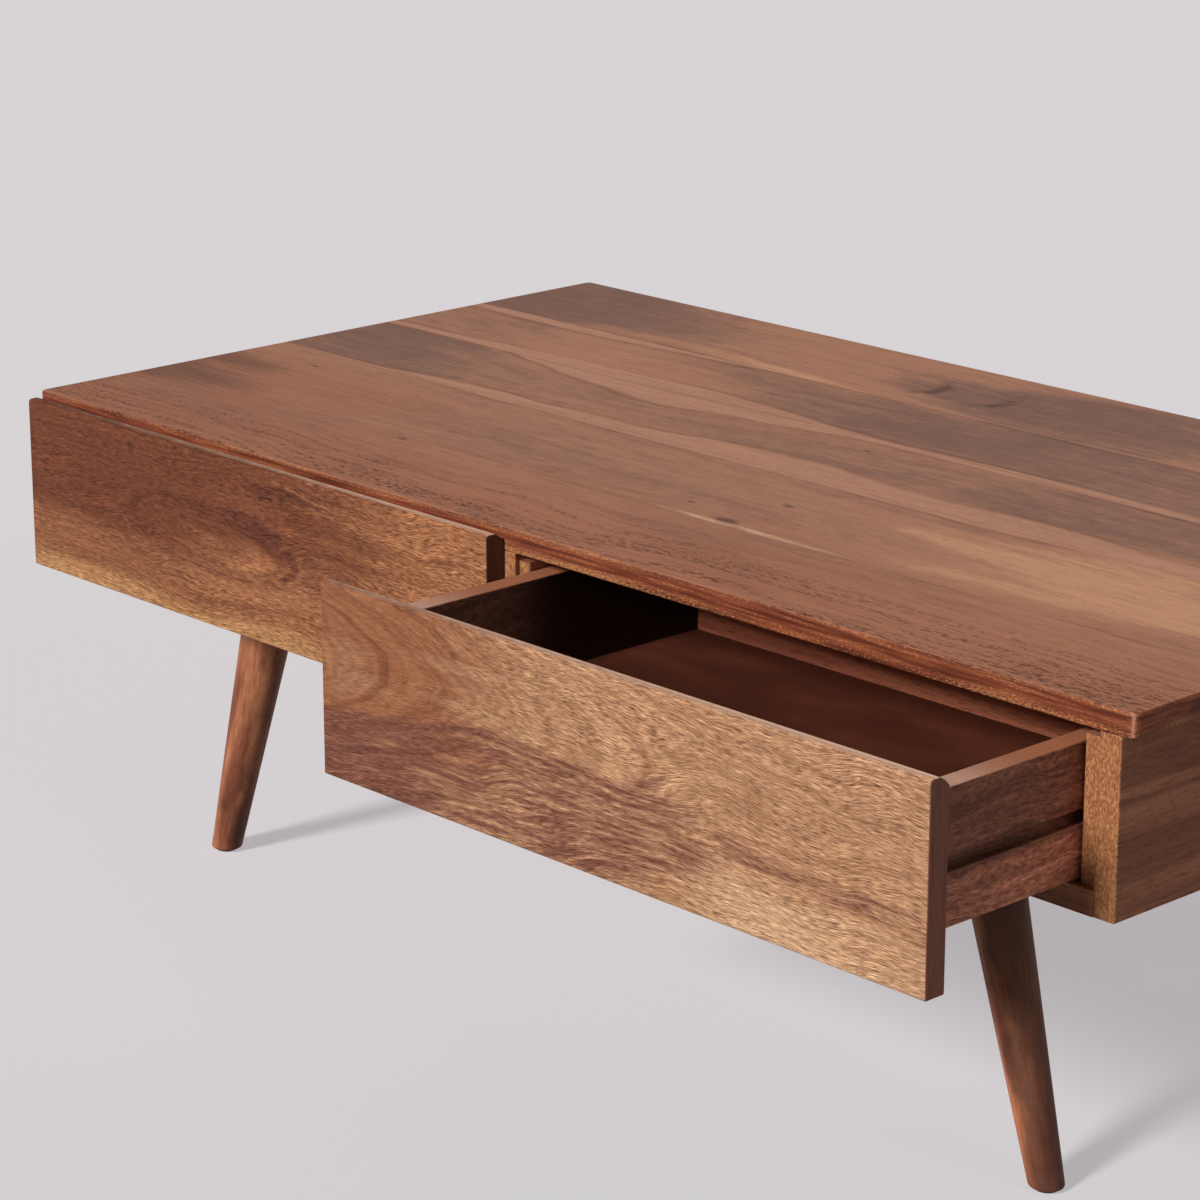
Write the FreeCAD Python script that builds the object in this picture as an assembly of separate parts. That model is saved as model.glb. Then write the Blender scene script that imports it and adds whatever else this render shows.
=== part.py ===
import FreeCAD, Part
import math
import os

# A low table in solid wood: a box of boards on four splayed round legs, with two drawers side by side.
# All sizes are in millimetres. X runs along the table, fronts face -Y, and the floor is at Z = 0.
# The pieces are first laid out with the top's front edge at Y = 0, and moved to the origin at the end.

# Table top
top_length = 1200.0
top_depth = 644.0
top_thick = 18.0
top_corner_round = 6.0
top_edge_round = 2.0
top_overhang_end = 10.0
top_overhang_back = 10.0
table_height = 405.0

# Carcass boards under the top
carcass_height = 129.0
side_panel_thick = 18.0
back_panel_thick = 18.0
bottom_thick = 18.0
divider_thick = 16.0

# Packers that carry the runners beside the drawers
divider_packer_thick = 10.0
side_packer_thick = 16.0
packer_setback = 5.0
packer_top_gap = 6.0
packer_edge_round = 2.0

# Drawer boxes
drawer_side_thick = 17.0
drawer_end_thick = 17.0
drawer_inner_length = 312.0
drawer_top_gap = 12.0
drawer_bottom_gap = 3.0
drawer_side_gap = 1.7
drawer_edge_round = 1.5
drawer_base_thick = 6.0
drawer_base_up = 15.0
drawer_base_groove = 6.0
drawer_base_gap = 0.3

# Drawer fronts, with a finger pull along the top of the back face
front_thick = 18.0
front_top_drop = 3.0
front_bottom_drop = 2.0
front_middle_gap = 6.0
front_end_inset = 10.0
front_close_gap = 0.6
front_arris_round = 3.0
front_foot_round = 1.5
pull_width = 9.0
pull_height = 7.5
pull_bulge = 0.8
right_drawer_open = 164.0

# Wooden runners and the drawer grooves that slide on them
groove_height = 10.4
groove_depth = 7.0
groove_below_top = 47.6
runner_gap = 0.3
runner_tip_gap = 0.7
runner_front_setback = 12.0
runner_back_short = 6.0

# Legs
leg_inset_end = 202.0
leg_inset_front = 92.0
leg_inset_back = 92.0
leg_splay_end = 72.0
leg_splay_front = 5.0
leg_top_dia = 46.8
leg_foot_dia = 26.0
leg_foot_round = 2.5
pad_dia = 17.0
pad_thick = 2.0

# Leg plates and bolts
plate_size = 64.0
plate_thick = 2.5
plate_corner_round = 5.0
plate_screw_inset = 9.0
boss_dia = 14.0
boss_height = 8.0
boss_recess_dia = 24.0
boss_recess_depth = 14.0
bolt_dia = 8.0
bolt_in_leg = 42.0
bolt_above_plate = 10.0

# Screws and dowels
screw_dia = 3.5
screw_head_dia = 7.0
screw_head_height = 2.2
runner_screw_length = 15.0
runner_screw_count = 3
packer_screw_length = 20.0
packer_screw_count = 3
packer_screw_low = 14.0
divider_screw_length = 40.0
divider_screw_count = 4
front_screw_length = 30.0
front_screw_inset = 60.0
plate_screw_length = 14.0
top_dowel_dia = 8.0
top_dowel_in_top = 10.0
top_dowel_in_panel = 20.0
top_dowel_count = 4
base_dowel_in_panel = 10.0
base_dowel_in_bottom = 22.0
base_dowel_count = 4
box_dowel_dia = 6.0
box_dowel_in_side = 8.0
box_dowel_in_end = 16.0
box_dowel_upper = 18.0
fastener_gap = 0.1
end_margin = 45.0

V = FreeCAD.Vector
X_AXIS = V(1, 0, 0)
Y_AXIS = V(0, 1, 0)
Z_AXIS = V(0, 0, 1)

# Levels and planes that several pieces share
top_under = table_height - top_thick
carcass_under = top_under - carcass_height
floor_of_bays = carcass_under + bottom_thick
panel_outer = top_length / 2 - top_overhang_end
panel_inner = panel_outer - side_panel_thick
carcass_back = top_depth - top_overhang_back
back_inner = carcass_back - back_panel_thick
divider_face = divider_thick / 2
inner_packer_face = divider_face + divider_packer_thick
outer_packer_face = panel_inner - side_packer_thick
packer_top = top_under - packer_top_gap

box_inner_x = inner_packer_face + drawer_side_gap
box_outer_x = outer_packer_face - drawer_side_gap
box_top = top_under - drawer_top_gap
box_foot = floor_of_bays + drawer_bottom_gap
box_length = drawer_end_thick + drawer_inner_length + drawer_end_thick
box_front_y = -front_close_gap
box_back_y = box_front_y + box_length
groove_top = box_top - groove_below_top
base_under = box_foot + drawer_base_up

runner_height = groove_height - 2 * runner_gap
runner_depth = drawer_side_gap + groove_depth - runner_tip_gap
runner_top = groove_top - runner_gap
runner_front_y = packer_setback + runner_front_setback
runner_back_y = box_back_y - runner_back_short
packer_back_y = box_back_y

# The rest pose has the right drawer open, so the middle of the part's depth follows that opening
part_front = -(right_drawer_open + front_close_gap + front_thick)
origin_y = (part_front + top_depth) / 2


def board(x0, x1, y0, y1, z0, z1):
    """A plain board between two corners."""
    return Part.makeBox(x1 - x0, y1 - y0, z1 - z0, V(x0, y0, z0))


def edges_along(shape, axis, low=None, high=None):
    """Straight edges along one axis, kept where their middle lies in the box from low to high."""
    found = []
    for edge in shape.Edges:
        if edge.Curve.TypeId != "Part::GeomLine":
            continue
        if abs(abs(edge.tangentAt(edge.FirstParameter).dot(axis)) - 1) > 1e-6:
            continue
        middle = edge.CenterOfMass
        if low and (middle.x < low.x or middle.y < low.y or middle.z < low.z):
            continue
        if high and (middle.x > high.x or middle.y > high.y or middle.z > high.z):
            continue
        found.append(edge)
    return found


def spread(first, last, count):
    """Evenly spaced places from first to last."""
    return [first + (last - first) * i / (count - 1) for i in range(count)]


def screw(head, direction, length, gap=0.0):
    """A countersunk wood screw whose flat head lies at head; gap swells it into its own hole."""
    tip_radius = screw_dia / 2 + gap
    head_radius = screw_head_dia / 2 + gap
    countersink = Part.makeCone(head_radius, tip_radius, screw_head_height, head, direction)
    shank = Part.makeCylinder(tip_radius, length + gap, head, direction)
    return countersink.fuse(shank).removeSplitter()


def dowel(foot, direction, length, dia, gap=0.0):
    """A round wooden dowel, or its hole where gap is given."""
    start = foot - direction * gap
    return Part.makeCylinder(dia / 2 + gap, length + 2 * gap, start, direction)


def mirror_x(shape):
    """The same piece on the other side of the table's middle."""
    return shape.mirror(V(0, 0, 0), X_AXIS)


parts = {}


def cut_all(names, cutters):
    """Cuts the same holes in several named pieces."""
    for name in names:
        parts[name] = parts[name].cut(cutters)


# The top is one glued panel with eased edges and slightly rounded corners.
top = board(-top_length / 2, top_length / 2, 0, top_depth, top_under, table_height)
top = top.makeFillet(top_corner_round, edges_along(top, Z_AXIS))
rims = [edge for edge in top.Edges if abs(edge.BoundBox.ZLength) < 1e-6]
parts["table_top"] = top.makeFillet(top_edge_round, rims)

# The carcass: two ends, a back, a bottom between them and a divider between the two bays.
right_panel = board(panel_inner, panel_outer, 0, carcass_back, carcass_under, top_under)
parts["side_panel_right"] = right_panel
parts["side_panel_left"] = mirror_x(right_panel)
parts["back_panel"] = board(-panel_inner, panel_inner, back_inner, carcass_back, carcass_under, top_under)
parts["bottom_panel"] = board(-panel_inner, panel_inner, 0, back_inner, carcass_under, floor_of_bays)
parts["centre_divider"] = board(-divider_face, divider_face, 0, back_inner, floor_of_bays, top_under)


# Packers stand on the bottom panel, set back a little, with a rounded front edge beside the drawer.
def packer(x0, x1, drawer_face):
    block = board(x0, x1, packer_setback, packer_back_y, floor_of_bays, packer_top)
    arris = [edge for edge in edges_along(block, Z_AXIS, high=V(1e6, packer_setback + 1, 1e6))
             if abs(edge.CenterOfMass.x - drawer_face) < 1e-6]
    return block.makeFillet(packer_edge_round, arris)


parts["divider_packer_right"] = packer(divider_face, inner_packer_face, inner_packer_face)
parts["side_packer_right"] = packer(outer_packer_face, panel_inner, outer_packer_face)
parts["divider_packer_left"] = mirror_x(parts["divider_packer_right"])
parts["side_packer_left"] = mirror_x(parts["side_packer_right"])

# Runners are plain strips screwed to the packers; they reach into the drawers' grooves.
parts["runner_right_inner"] = board(inner_packer_face, inner_packer_face + runner_depth,
                                    runner_front_y, runner_back_y, runner_top - runner_height, runner_top)
parts["runner_right_outer"] = board(outer_packer_face - runner_depth, outer_packer_face,
                                    runner_front_y, runner_back_y, runner_top - runner_height, runner_top)
parts["runner_left_inner"] = mirror_x(parts["runner_right_inner"])
parts["runner_left_outer"] = mirror_x(parts["runner_right_outer"])


# One drawer, laid out closed on the right-hand side of the table.
def drawer_front():
    """The overlay front: eased front arris, and a bevel down to the back face to hook fingers on."""
    low = carcass_under - front_bottom_drop
    high = table_height - front_top_drop
    face = -front_close_gap - front_thick
    back = -front_close_gap
    x0 = front_middle_gap / 2
    r = front_arris_round
    f = front_foot_round
    bend = math.sqrt(0.5)
    bevel_start = V(x0, back - pull_width, high)
    bevel_end = V(x0, back, high - pull_height)
    across = V(0, pull_height, pull_width).normalize()
    bevel_middle = (bevel_start + bevel_end) * 0.5 + across * pull_bulge
    edges = [
        Part.LineSegment(V(x0, face, low + f), V(x0, face, high - r)),
        Part.Arc(V(x0, face, high - r), V(x0, face + r * (1 - bend), high - r * (1 - bend)), V(x0, face + r, high)),
        Part.LineSegment(V(x0, face + r, high), bevel_start),
        Part.Arc(bevel_start, bevel_middle, bevel_end),
        Part.LineSegment(bevel_end, V(x0, back, low + f)),
        Part.Arc(V(x0, back, low + f), V(x0, back - f * (1 - bend), low + f * (1 - bend)), V(x0, back - f, low)),
        Part.LineSegment(V(x0, back - f, low), V(x0, face + f, low)),
        Part.Arc(V(x0, face + f, low), V(x0, face + f * (1 - bend), low + f * (1 - bend)), V(x0, face, low + f)),
    ]
    profile = Part.Face(Part.Wire([edge.toShape() for edge in edges]))
    return profile.extrude(X_AXIS * (top_length / 2 - front_end_inset - x0))


def drawer_side(x0, x1, groove_face):
    """A side with eased top edges, a runner groove outside and a groove inside for the base."""
    side = board(x0, x1, box_front_y, box_back_y, box_foot, box_top)
    side = side.makeFillet(drawer_edge_round, edges_along(side, Y_AXIS, low=V(-1e6, -1e6, box_top - 1)))
    into = 1 if groove_face == x0 else -1
    outside = sorted([groove_face, groove_face + into * groove_depth])
    inner_face = x1 if groove_face == x0 else x0
    inside = sorted([inner_face, inner_face - into * drawer_base_groove])
    runner_groove = board(outside[0], outside[1], box_front_y, box_back_y, groove_top - groove_height, groove_top)
    base_slot = board(inside[0], inside[1], box_front_y + drawer_end_thick - drawer_base_groove,
                      box_back_y - drawer_end_thick + drawer_base_groove,
                      base_under, base_under + drawer_base_thick)
    return side.cut([runner_groove, base_slot])


def drawer_end(y0, y1, slot_face):
    """The box's own front or back board, between the sides, with a groove for the base."""
    end = board(box_inner_x + drawer_side_thick, box_outer_x - drawer_side_thick, y0, y1, box_foot, box_top)
    end = end.makeFillet(drawer_edge_round, edges_along(end, X_AXIS, low=V(-1e6, -1e6, box_top - 1)))
    into = 1 if slot_face == y0 else -1
    depth = sorted([slot_face, slot_face + into * drawer_base_groove])
    slot = board(box_inner_x, box_outer_x, depth[0], depth[1], base_under, base_under + drawer_base_thick)
    return end.cut(slot)


inner_end_y = box_front_y + drawer_end_thick
inner_back_y = box_back_y - drawer_end_thick
base_reach = drawer_base_groove - drawer_base_gap
box_base = board(box_inner_x + drawer_side_thick - base_reach, box_outer_x - drawer_side_thick + base_reach,
                 inner_end_y - base_reach, inner_back_y + base_reach,
                 base_under, base_under + drawer_base_thick)

drawer = {
    "front": drawer_front(),
    "box_front": drawer_end(box_front_y, inner_end_y, inner_end_y),
    "back": drawer_end(inner_back_y, box_back_y, inner_back_y),
    "inner_side": drawer_side(box_inner_x, box_inner_x + drawer_side_thick, box_inner_x),
    "outer_side": drawer_side(box_outer_x - drawer_side_thick, box_outer_x, box_outer_x),
    "base": box_base,
}

# Screws from inside the box hold the overlay front on.
front_screw_rows = [box_top - box_dowel_upper, base_under + drawer_base_thick + box_dowel_upper]
front_screw_heads = [V(x, inner_end_y, z) for z in front_screw_rows
                     for x in (box_inner_x + front_screw_inset, box_outer_x - front_screw_inset)]
front_screw_holes = [screw(p, -Y_AXIS, front_screw_length, fastener_gap) for p in front_screw_heads]
drawer["front"] = drawer["front"].cut(front_screw_holes)
drawer["box_front"] = drawer["box_front"].cut(front_screw_holes)
drawer["front_screws"] = Part.makeCompound([screw(p, -Y_AXIS, front_screw_length) for p in front_screw_heads])

# Blind dowels join the sides to the box's front and back.
box_dowel_levels = [box_top - box_dowel_upper, groove_top - groove_height - box_dowel_dia]
box_dowel_length = box_dowel_in_side + box_dowel_in_end
box_dowels = []
box_dowel_holes = []
for y in (box_front_y + drawer_end_thick / 2, box_back_y - drawer_end_thick / 2):
    for z in box_dowel_levels:
        left_foot = V(box_inner_x + drawer_side_thick - box_dowel_in_side, y, z)
        right_foot = V(box_outer_x - drawer_side_thick - box_dowel_in_end, y, z)
        for foot in (left_foot, right_foot):
            box_dowels.append(dowel(foot, X_AXIS, box_dowel_length, box_dowel_dia))
            box_dowel_holes.append(dowel(foot, X_AXIS, box_dowel_length, box_dowel_dia, fastener_gap))
for name in ("box_front", "back", "inner_side", "outer_side"):
    drawer[name] = drawer[name].cut(box_dowel_holes)
drawer["dowels"] = Part.makeCompound(box_dowels)

for name, piece in drawer.items():
    parts["drawer_left_" + name] = mirror_x(piece)
    parts["drawer_right_" + name] = piece.translated(-Y_AXIS * right_drawer_open)

# Runner screws go through each runner into its packer.
runner_screws = []
runner_middle = runner_top - runner_height / 2
runner_screw_places = spread(runner_front_y + end_margin, runner_back_y - end_margin, runner_screw_count)
runner_faces = {
    "right_inner": (inner_packer_face + runner_depth, -1, "divider_packer_right"),
    "right_outer": (outer_packer_face - runner_depth, 1, "side_packer_right"),
    "left_inner": (-inner_packer_face - runner_depth, 1, "divider_packer_left"),
    "left_outer": (-outer_packer_face + runner_depth, -1, "side_packer_left"),
}
for place, (face, way, packer_name) in runner_faces.items():
    heads = [V(face, y, runner_middle) for y in runner_screw_places]
    holes = [screw(p, X_AXIS * way, runner_screw_length, fastener_gap) for p in heads]
    cut_all(["runner_" + place, packer_name], holes)
    runner_screws += [screw(p, X_AXIS * way, runner_screw_length) for p in heads]
parts["runner_screws"] = Part.makeCompound(runner_screws)

# Packer screws go through each packer; those on the divider's two sides are staggered.
packer_screws = []
packer_screw_level = floor_of_bays + packer_screw_low
packer_places = spread(packer_setback + end_margin, packer_back_y - end_margin, packer_screw_count)
packer_faces = {
    "divider_packer_right": (inner_packer_face, -1, 0.0, "centre_divider"),
    "side_packer_right": (outer_packer_face, 1, 0.0, "side_panel_right"),
    "divider_packer_left": (-inner_packer_face, 1, 2 * screw_head_dia, "centre_divider"),
    "side_packer_left": (-outer_packer_face, -1, 0.0, "side_panel_left"),
}
for packer_name, (face, way, stagger, panel_name) in packer_faces.items():
    heads = [V(face, y + stagger, packer_screw_level) for y in packer_places]
    holes = [screw(p, X_AXIS * way, packer_screw_length, fastener_gap) for p in heads]
    cut_all([packer_name, panel_name], holes)
    packer_screws += [screw(p, X_AXIS * way, packer_screw_length) for p in heads]
parts["packer_screws"] = Part.makeCompound(packer_screws)

# Screws from below hold the divider.
divider_heads = [V(0, y, carcass_under) for y in spread(end_margin, back_inner - end_margin, divider_screw_count)]
divider_holes = [screw(p, Z_AXIS, divider_screw_length, fastener_gap) for p in divider_heads]
cut_all(["bottom_panel", "centre_divider"], divider_holes)
parts["divider_screws"] = Part.makeCompound([screw(p, Z_AXIS, divider_screw_length) for p in divider_heads])

# Upright dowels join the top to the ends, the back and the divider.
top_dowel_feet = []
end_middle = panel_outer - side_panel_thick / 2
for y in spread(end_margin, back_inner - end_margin, top_dowel_count):
    for x in (-end_middle, 0, end_middle):
        top_dowel_feet.append(V(x, y, top_under - top_dowel_in_panel))
for x in spread(-panel_inner + end_margin, panel_inner - end_margin, top_dowel_count):
    top_dowel_feet.append(V(x, carcass_back - back_panel_thick / 2, top_under - top_dowel_in_panel))
top_dowel_length = top_dowel_in_panel + top_dowel_in_top
top_dowel_holes = [dowel(p, Z_AXIS, top_dowel_length, top_dowel_dia, fastener_gap) for p in top_dowel_feet]
cut_all(["table_top", "side_panel_left", "side_panel_right", "back_panel", "centre_divider"], top_dowel_holes)
parts["top_dowels"] = Part.makeCompound([dowel(p, Z_AXIS, top_dowel_length, top_dowel_dia) for p in top_dowel_feet])

# Level dowels join the bottom panel to the ends and the back, and the back to the ends.
base_dowel_length = base_dowel_in_panel + base_dowel_in_bottom
base_level = carcass_under + bottom_thick / 2
base_dowel_runs = []
for y in spread(end_margin, back_inner - end_margin, base_dowel_count):
    base_dowel_runs.append((V(panel_inner - base_dowel_in_bottom, y, base_level), X_AXIS))
    base_dowel_runs.append((V(-panel_inner - base_dowel_in_panel, y, base_level), X_AXIS))
for x in spread(-panel_inner + end_margin, panel_inner - end_margin, base_dowel_count):
    base_dowel_runs.append((V(x, back_inner - base_dowel_in_bottom, base_level), Y_AXIS))
back_middle = carcass_back - back_panel_thick / 2
for z in (floor_of_bays + end_margin / 2, top_under - end_margin):
    base_dowel_runs.append((V(panel_inner - base_dowel_in_bottom, back_middle, z), X_AXIS))
    base_dowel_runs.append((V(-panel_inner - base_dowel_in_panel, back_middle, z), X_AXIS))
base_dowel_holes = [dowel(p, way, base_dowel_length, top_dowel_dia, fastener_gap) for p, way in base_dowel_runs]
cut_all(["bottom_panel", "side_panel_left", "side_panel_right", "back_panel"], base_dowel_holes)
parts["carcass_dowels"] = Part.makeCompound(
    [dowel(p, way, base_dowel_length, top_dowel_dia) for p, way in base_dowel_runs])

# Legs: round, tapered and splayed, each on a steel plate with a slanted boss for its bolt.
leg_top = carcass_under - plate_thick
leg_foot = pad_thick
leg_places = {
    "front_left": (-1, leg_inset_front, -1),
    "front_right": (1, leg_inset_front, -1),
    "back_left": (-1, carcass_back - leg_inset_back, 1),
    "back_right": (1, carcass_back - leg_inset_back, 1),
}
bolts = []
plate_screws = []
pads = []
for place, (side, top_y, outward) in leg_places.items():
    head = V(side * (top_length / 2 - leg_inset_end), top_y, leg_top)
    foot = V(head.x + side * leg_splay_end, head.y + outward * leg_splay_front, leg_foot)
    axis = (head - foot).normalize()
    length = (head - foot).Length
    taper = (leg_top_dia - leg_foot_dia) / 2 / length
    spare = leg_top_dia
    cone = Part.makeCone(leg_foot_dia / 2 - taper * spare, leg_top_dia / 2 + taper * spare,
                         length + 2 * spare, foot - axis * spare, axis)
    reach = leg_top_dia + leg_splay_end
    slab = board(foot.x - reach, foot.x + reach, foot.y - reach, foot.y + reach, leg_foot, leg_top)
    leg = cone.common(slab)
    foot_rim = [edge for edge in leg.Edges if edge.BoundBox.ZMax < leg_foot + 1e-3]
    leg = leg.makeFillet(leg_foot_round, foot_rim)
    bolt_foot = head - axis * bolt_in_leg
    bolt_length = bolt_in_leg + plate_thick / axis.z + bolt_above_plate
    bolt = Part.makeCylinder(bolt_dia / 2, bolt_length, bolt_foot, axis)
    bolt_hole = Part.makeCylinder(bolt_dia / 2 + fastener_gap, bolt_length + leg_top_dia,
                                  bolt_foot - axis * fastener_gap, axis)
    bolts.append(bolt)
    parts["leg_" + place] = leg.cut(bolt_hole)

    half = plate_size / 2
    plate = board(head.x - half, head.x + half, head.y - half, head.y + half, leg_top, carcass_under)
    plate = plate.makeFillet(plate_corner_round, edges_along(plate, Z_AXIS))
    boss_foot = head + axis * (plate_thick / 2)
    boss = Part.makeCylinder(boss_dia / 2, plate_thick / 2 + boss_height, boss_foot, axis)
    above_plate = board(head.x - half, head.x + half, head.y - half, head.y + half,
                        leg_top + plate_thick / 2, carcass_under + boss_recess_depth)
    plate = plate.fuse(boss.common(above_plate)).removeSplitter().cut(bolt_hole)
    recess = Part.makeCylinder(boss_recess_dia / 2, boss_recess_depth, V(head.x, head.y, carcass_under))
    offset = half - plate_screw_inset
    heads = [V(head.x + sx * offset, head.y + sy * offset, leg_top) for sx in (-1, 1) for sy in (-1, 1)]
    holes = [screw(p, Z_AXIS, plate_screw_length, fastener_gap) for p in heads]
    parts["leg_plate_" + place] = plate.cut(holes)
    cut_all(["bottom_panel"], [recess] + holes)
    plate_screws += [screw(p, Z_AXIS, plate_screw_length) for p in heads]
    pads.append(Part.makeCylinder(pad_dia / 2, pad_thick, V(foot.x, foot.y, 0)))
parts["leg_bolts"] = Part.makeCompound(bolts)
parts["leg_plate_screws"] = Part.makeCompound(plate_screws)
parts["foot_pads"] = Part.makeCompound(pads)

os.makedirs("parts", exist_ok=True)
for name, shape in parts.items():
    shape = shape.translated(-Y_AXIS * origin_y)
    if not shape.isValid():
        raise ValueError(name + " is not a valid shape")
    shape.exportStep("parts/" + name + ".step")
    box = shape.BoundBox
    print(name, len(shape.Solids), "solids, volume", round(shape.Volume),
          "box", [round(v, 1) for v in (box.XMin, box.YMin, box.ZMin, box.XMax, box.YMax, box.ZMax)])
print("nodes", len(parts), "origin_y", origin_y)
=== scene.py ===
# %% [markdown]
# # A coffee table with two drawers
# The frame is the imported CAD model: named nodes on three bodies, the carcass and the two drawers.
# It is loaded first and never moved. What this lesson adds is the finish: boards with eased edges,
# turned legs, and a procedural wood for every face, so that each board shows its own figure.

# %% Load the frame
import math
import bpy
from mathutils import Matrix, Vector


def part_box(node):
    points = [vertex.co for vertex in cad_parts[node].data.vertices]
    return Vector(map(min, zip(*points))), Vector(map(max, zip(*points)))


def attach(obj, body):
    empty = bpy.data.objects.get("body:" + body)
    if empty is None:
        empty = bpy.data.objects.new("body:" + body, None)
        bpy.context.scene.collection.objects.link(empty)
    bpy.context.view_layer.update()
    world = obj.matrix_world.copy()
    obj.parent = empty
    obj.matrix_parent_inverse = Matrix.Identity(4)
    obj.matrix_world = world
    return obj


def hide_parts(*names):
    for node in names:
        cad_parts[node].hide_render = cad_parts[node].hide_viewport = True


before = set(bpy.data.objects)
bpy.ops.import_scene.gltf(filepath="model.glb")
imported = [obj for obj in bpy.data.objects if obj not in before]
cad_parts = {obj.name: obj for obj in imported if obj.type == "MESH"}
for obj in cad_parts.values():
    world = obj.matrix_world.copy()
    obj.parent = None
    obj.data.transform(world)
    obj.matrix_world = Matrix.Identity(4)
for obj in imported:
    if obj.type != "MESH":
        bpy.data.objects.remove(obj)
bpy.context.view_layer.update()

from types import SimpleNamespace

import bpy
import numpy as np
from mathutils import Vector

mm = 0.001

# %% [markdown]
# ## Outlines with rounded corners
# A sanded board has no sharp corner. A Bevel modifier could round a box, but the groove and the finger
# pull need another radius at each corner, so the outline is worked out here: straight runs joined by arcs.
# It can also be drawn in evenly, as a board's face is where its edges are eased.

# %% Rounded outline
arc_steps = 6
flat_margin = 1.0 * mm
least_radius = 0.02 * mm


def rounded_outline(corners, radii, inset=0.0):
    """A closed outline, anticlockwise, of straight runs joined by arcs, drawn in by inset.

    At a corner with half angle h the arc of radius r touches each run at r / tan(h) from the corner, and
    its centre is r / sin(h) away on the bisector. Drawing in moves the corner by inset / sin(h) and takes
    inset off the radius, or adds it where the corner points inwards. Points of the arc turn evenly from
    touch to touch. Each arc has one more point on each run beside it, so that shading stays flat beyond it.
    Returns the points and a wear value that is 1 on arcs and 0 on runs.
    """
    corners = np.asarray(corners, float)
    radii = np.broadcast_to(np.asarray(radii, float), len(corners))[:, None]
    back = np.roll(corners, 1, axis=0) - corners
    ahead = np.roll(corners, -1, axis=0) - corners
    turn = np.sign(back[:, 1] * ahead[:, 0] - back[:, 0] * ahead[:, 1])[:, None]
    back = back / np.linalg.norm(back, axis=1, keepdims=True)
    ahead = ahead / np.linalg.norm(ahead, axis=1, keepdims=True)
    half = 0.5 * np.arccos(np.sum(back * ahead, axis=1, keepdims=True))
    middle = (back + ahead) / np.linalg.norm(back + ahead, axis=1, keepdims=True)
    corners = corners + turn * middle * inset / np.sin(half)
    radii = np.maximum(radii - turn * inset, least_radius)
    centre = corners + middle * radii / np.sin(half)
    first = corners + back * radii / np.tan(half)
    last = corners + ahead * radii / np.tan(half)
    sweep = np.pi - 2 * half
    share = np.linspace(0, 1, arc_steps + 1)
    from_first = (np.sin((1 - share) * sweep) / np.sin(sweep))[:, :, None]
    from_last = (np.sin(share * sweep) / np.sin(sweep))[:, :, None]
    arcs = centre[:, None] + (first - centre)[:, None] * from_first + (last - centre)[:, None] * from_last
    before = (first + back * flat_margin)[:, None]
    after = (last + ahead * flat_margin)[:, None]
    points = np.concatenate([before, arcs, after], axis=1)
    wear = np.zeros(points.shape[:2])
    wear[:, 1:-1] = 1.0
    return points.reshape(-1, 2), wear.ravel()


def rectangle(low, high):
    """The four corners of a rectangle, anticlockwise."""
    return [(low[0], low[1]), (high[0], low[1]), (high[0], high[1]), (low[0], high[1])]


demo = rounded_outline(rectangle((0, 0), (20 * mm, 10 * mm)), 2 * mm)
print("outline of a small rectangle has", len(demo[0]), "points")

# %% [markdown]
# ## Boards as carried outlines
# Every board here is one outline carried straight along an axis, drawn in by a quarter circle at both ends.
# That is how a router eases the last edges of a real board.

# %% Carry an outline
def carried(corners, radii, start, end, edge):
    """Rows of an outline carried from start to end, with quarter-round ends of radius edge.

    At angle a of the quarter circle the row is edge * (1 - cos a) in from the end and the outline is drawn
    in by edge * (1 - sin a). One more row on each flat keeps the shading there flat.
    Returns rows[i, j] of (path, first, second) and the wear of each point.
    """
    angle = np.linspace(0, np.pi / 2, arc_steps + 1)
    depth = np.concatenate([[0.0], edge * (1 - np.cos(angle)), [edge + flat_margin]])
    inset = np.concatenate([[edge + flat_margin], edge * (1 - np.sin(angle)), [0.0]])
    rim = np.concatenate([[0.0], np.ones(arc_steps + 1), [0.0]])
    path = np.concatenate([start + depth, end - depth[::-1]])
    inset = np.concatenate([inset, inset[::-1]])
    rim = np.concatenate([rim, rim[::-1]])[:, None]
    outlines = np.stack([rounded_outline(corners, radii, step)[0] for step in inset])
    arcs = rounded_outline(corners, radii)[1] * (inset <= edge)[:, None]
    along = np.broadcast_to(path[:, None, None], outlines.shape[:2] + (1,))
    return np.concatenate([along, outlines], axis=2), np.maximum(rim, arcs)


def stood_up(rows, axes):
    """Swaps (path, first, second) into x, y, z: axes names the letter that each of the three stands for."""
    return rows[:, :, [axes.index(letter) for letter in "xyz"]]


demo_rows = carried(rectangle((0, 0), (20 * mm, 10 * mm)), 2 * mm, 0.0, 50 * mm, 1 * mm)[0]
print("a small bar has", demo_rows.shape[0], "rows of", demo_rows.shape[1], "points")

# %% [markdown]
# ## From rows to a piece
# A grid of points becomes a mesh: quads between neighbours, and one face on each end row. Blender could
# recalculate the normals, but the sign of the volume already tells whether the faces look outwards; if not,
# they are all turned round. The wear values are kept as an attribute of the mesh, so that the finish can
# brighten the arrises where stain is rubbed thin and, on the top, where a highlight is painted.

# %% Add a piece
pieces = {}


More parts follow.
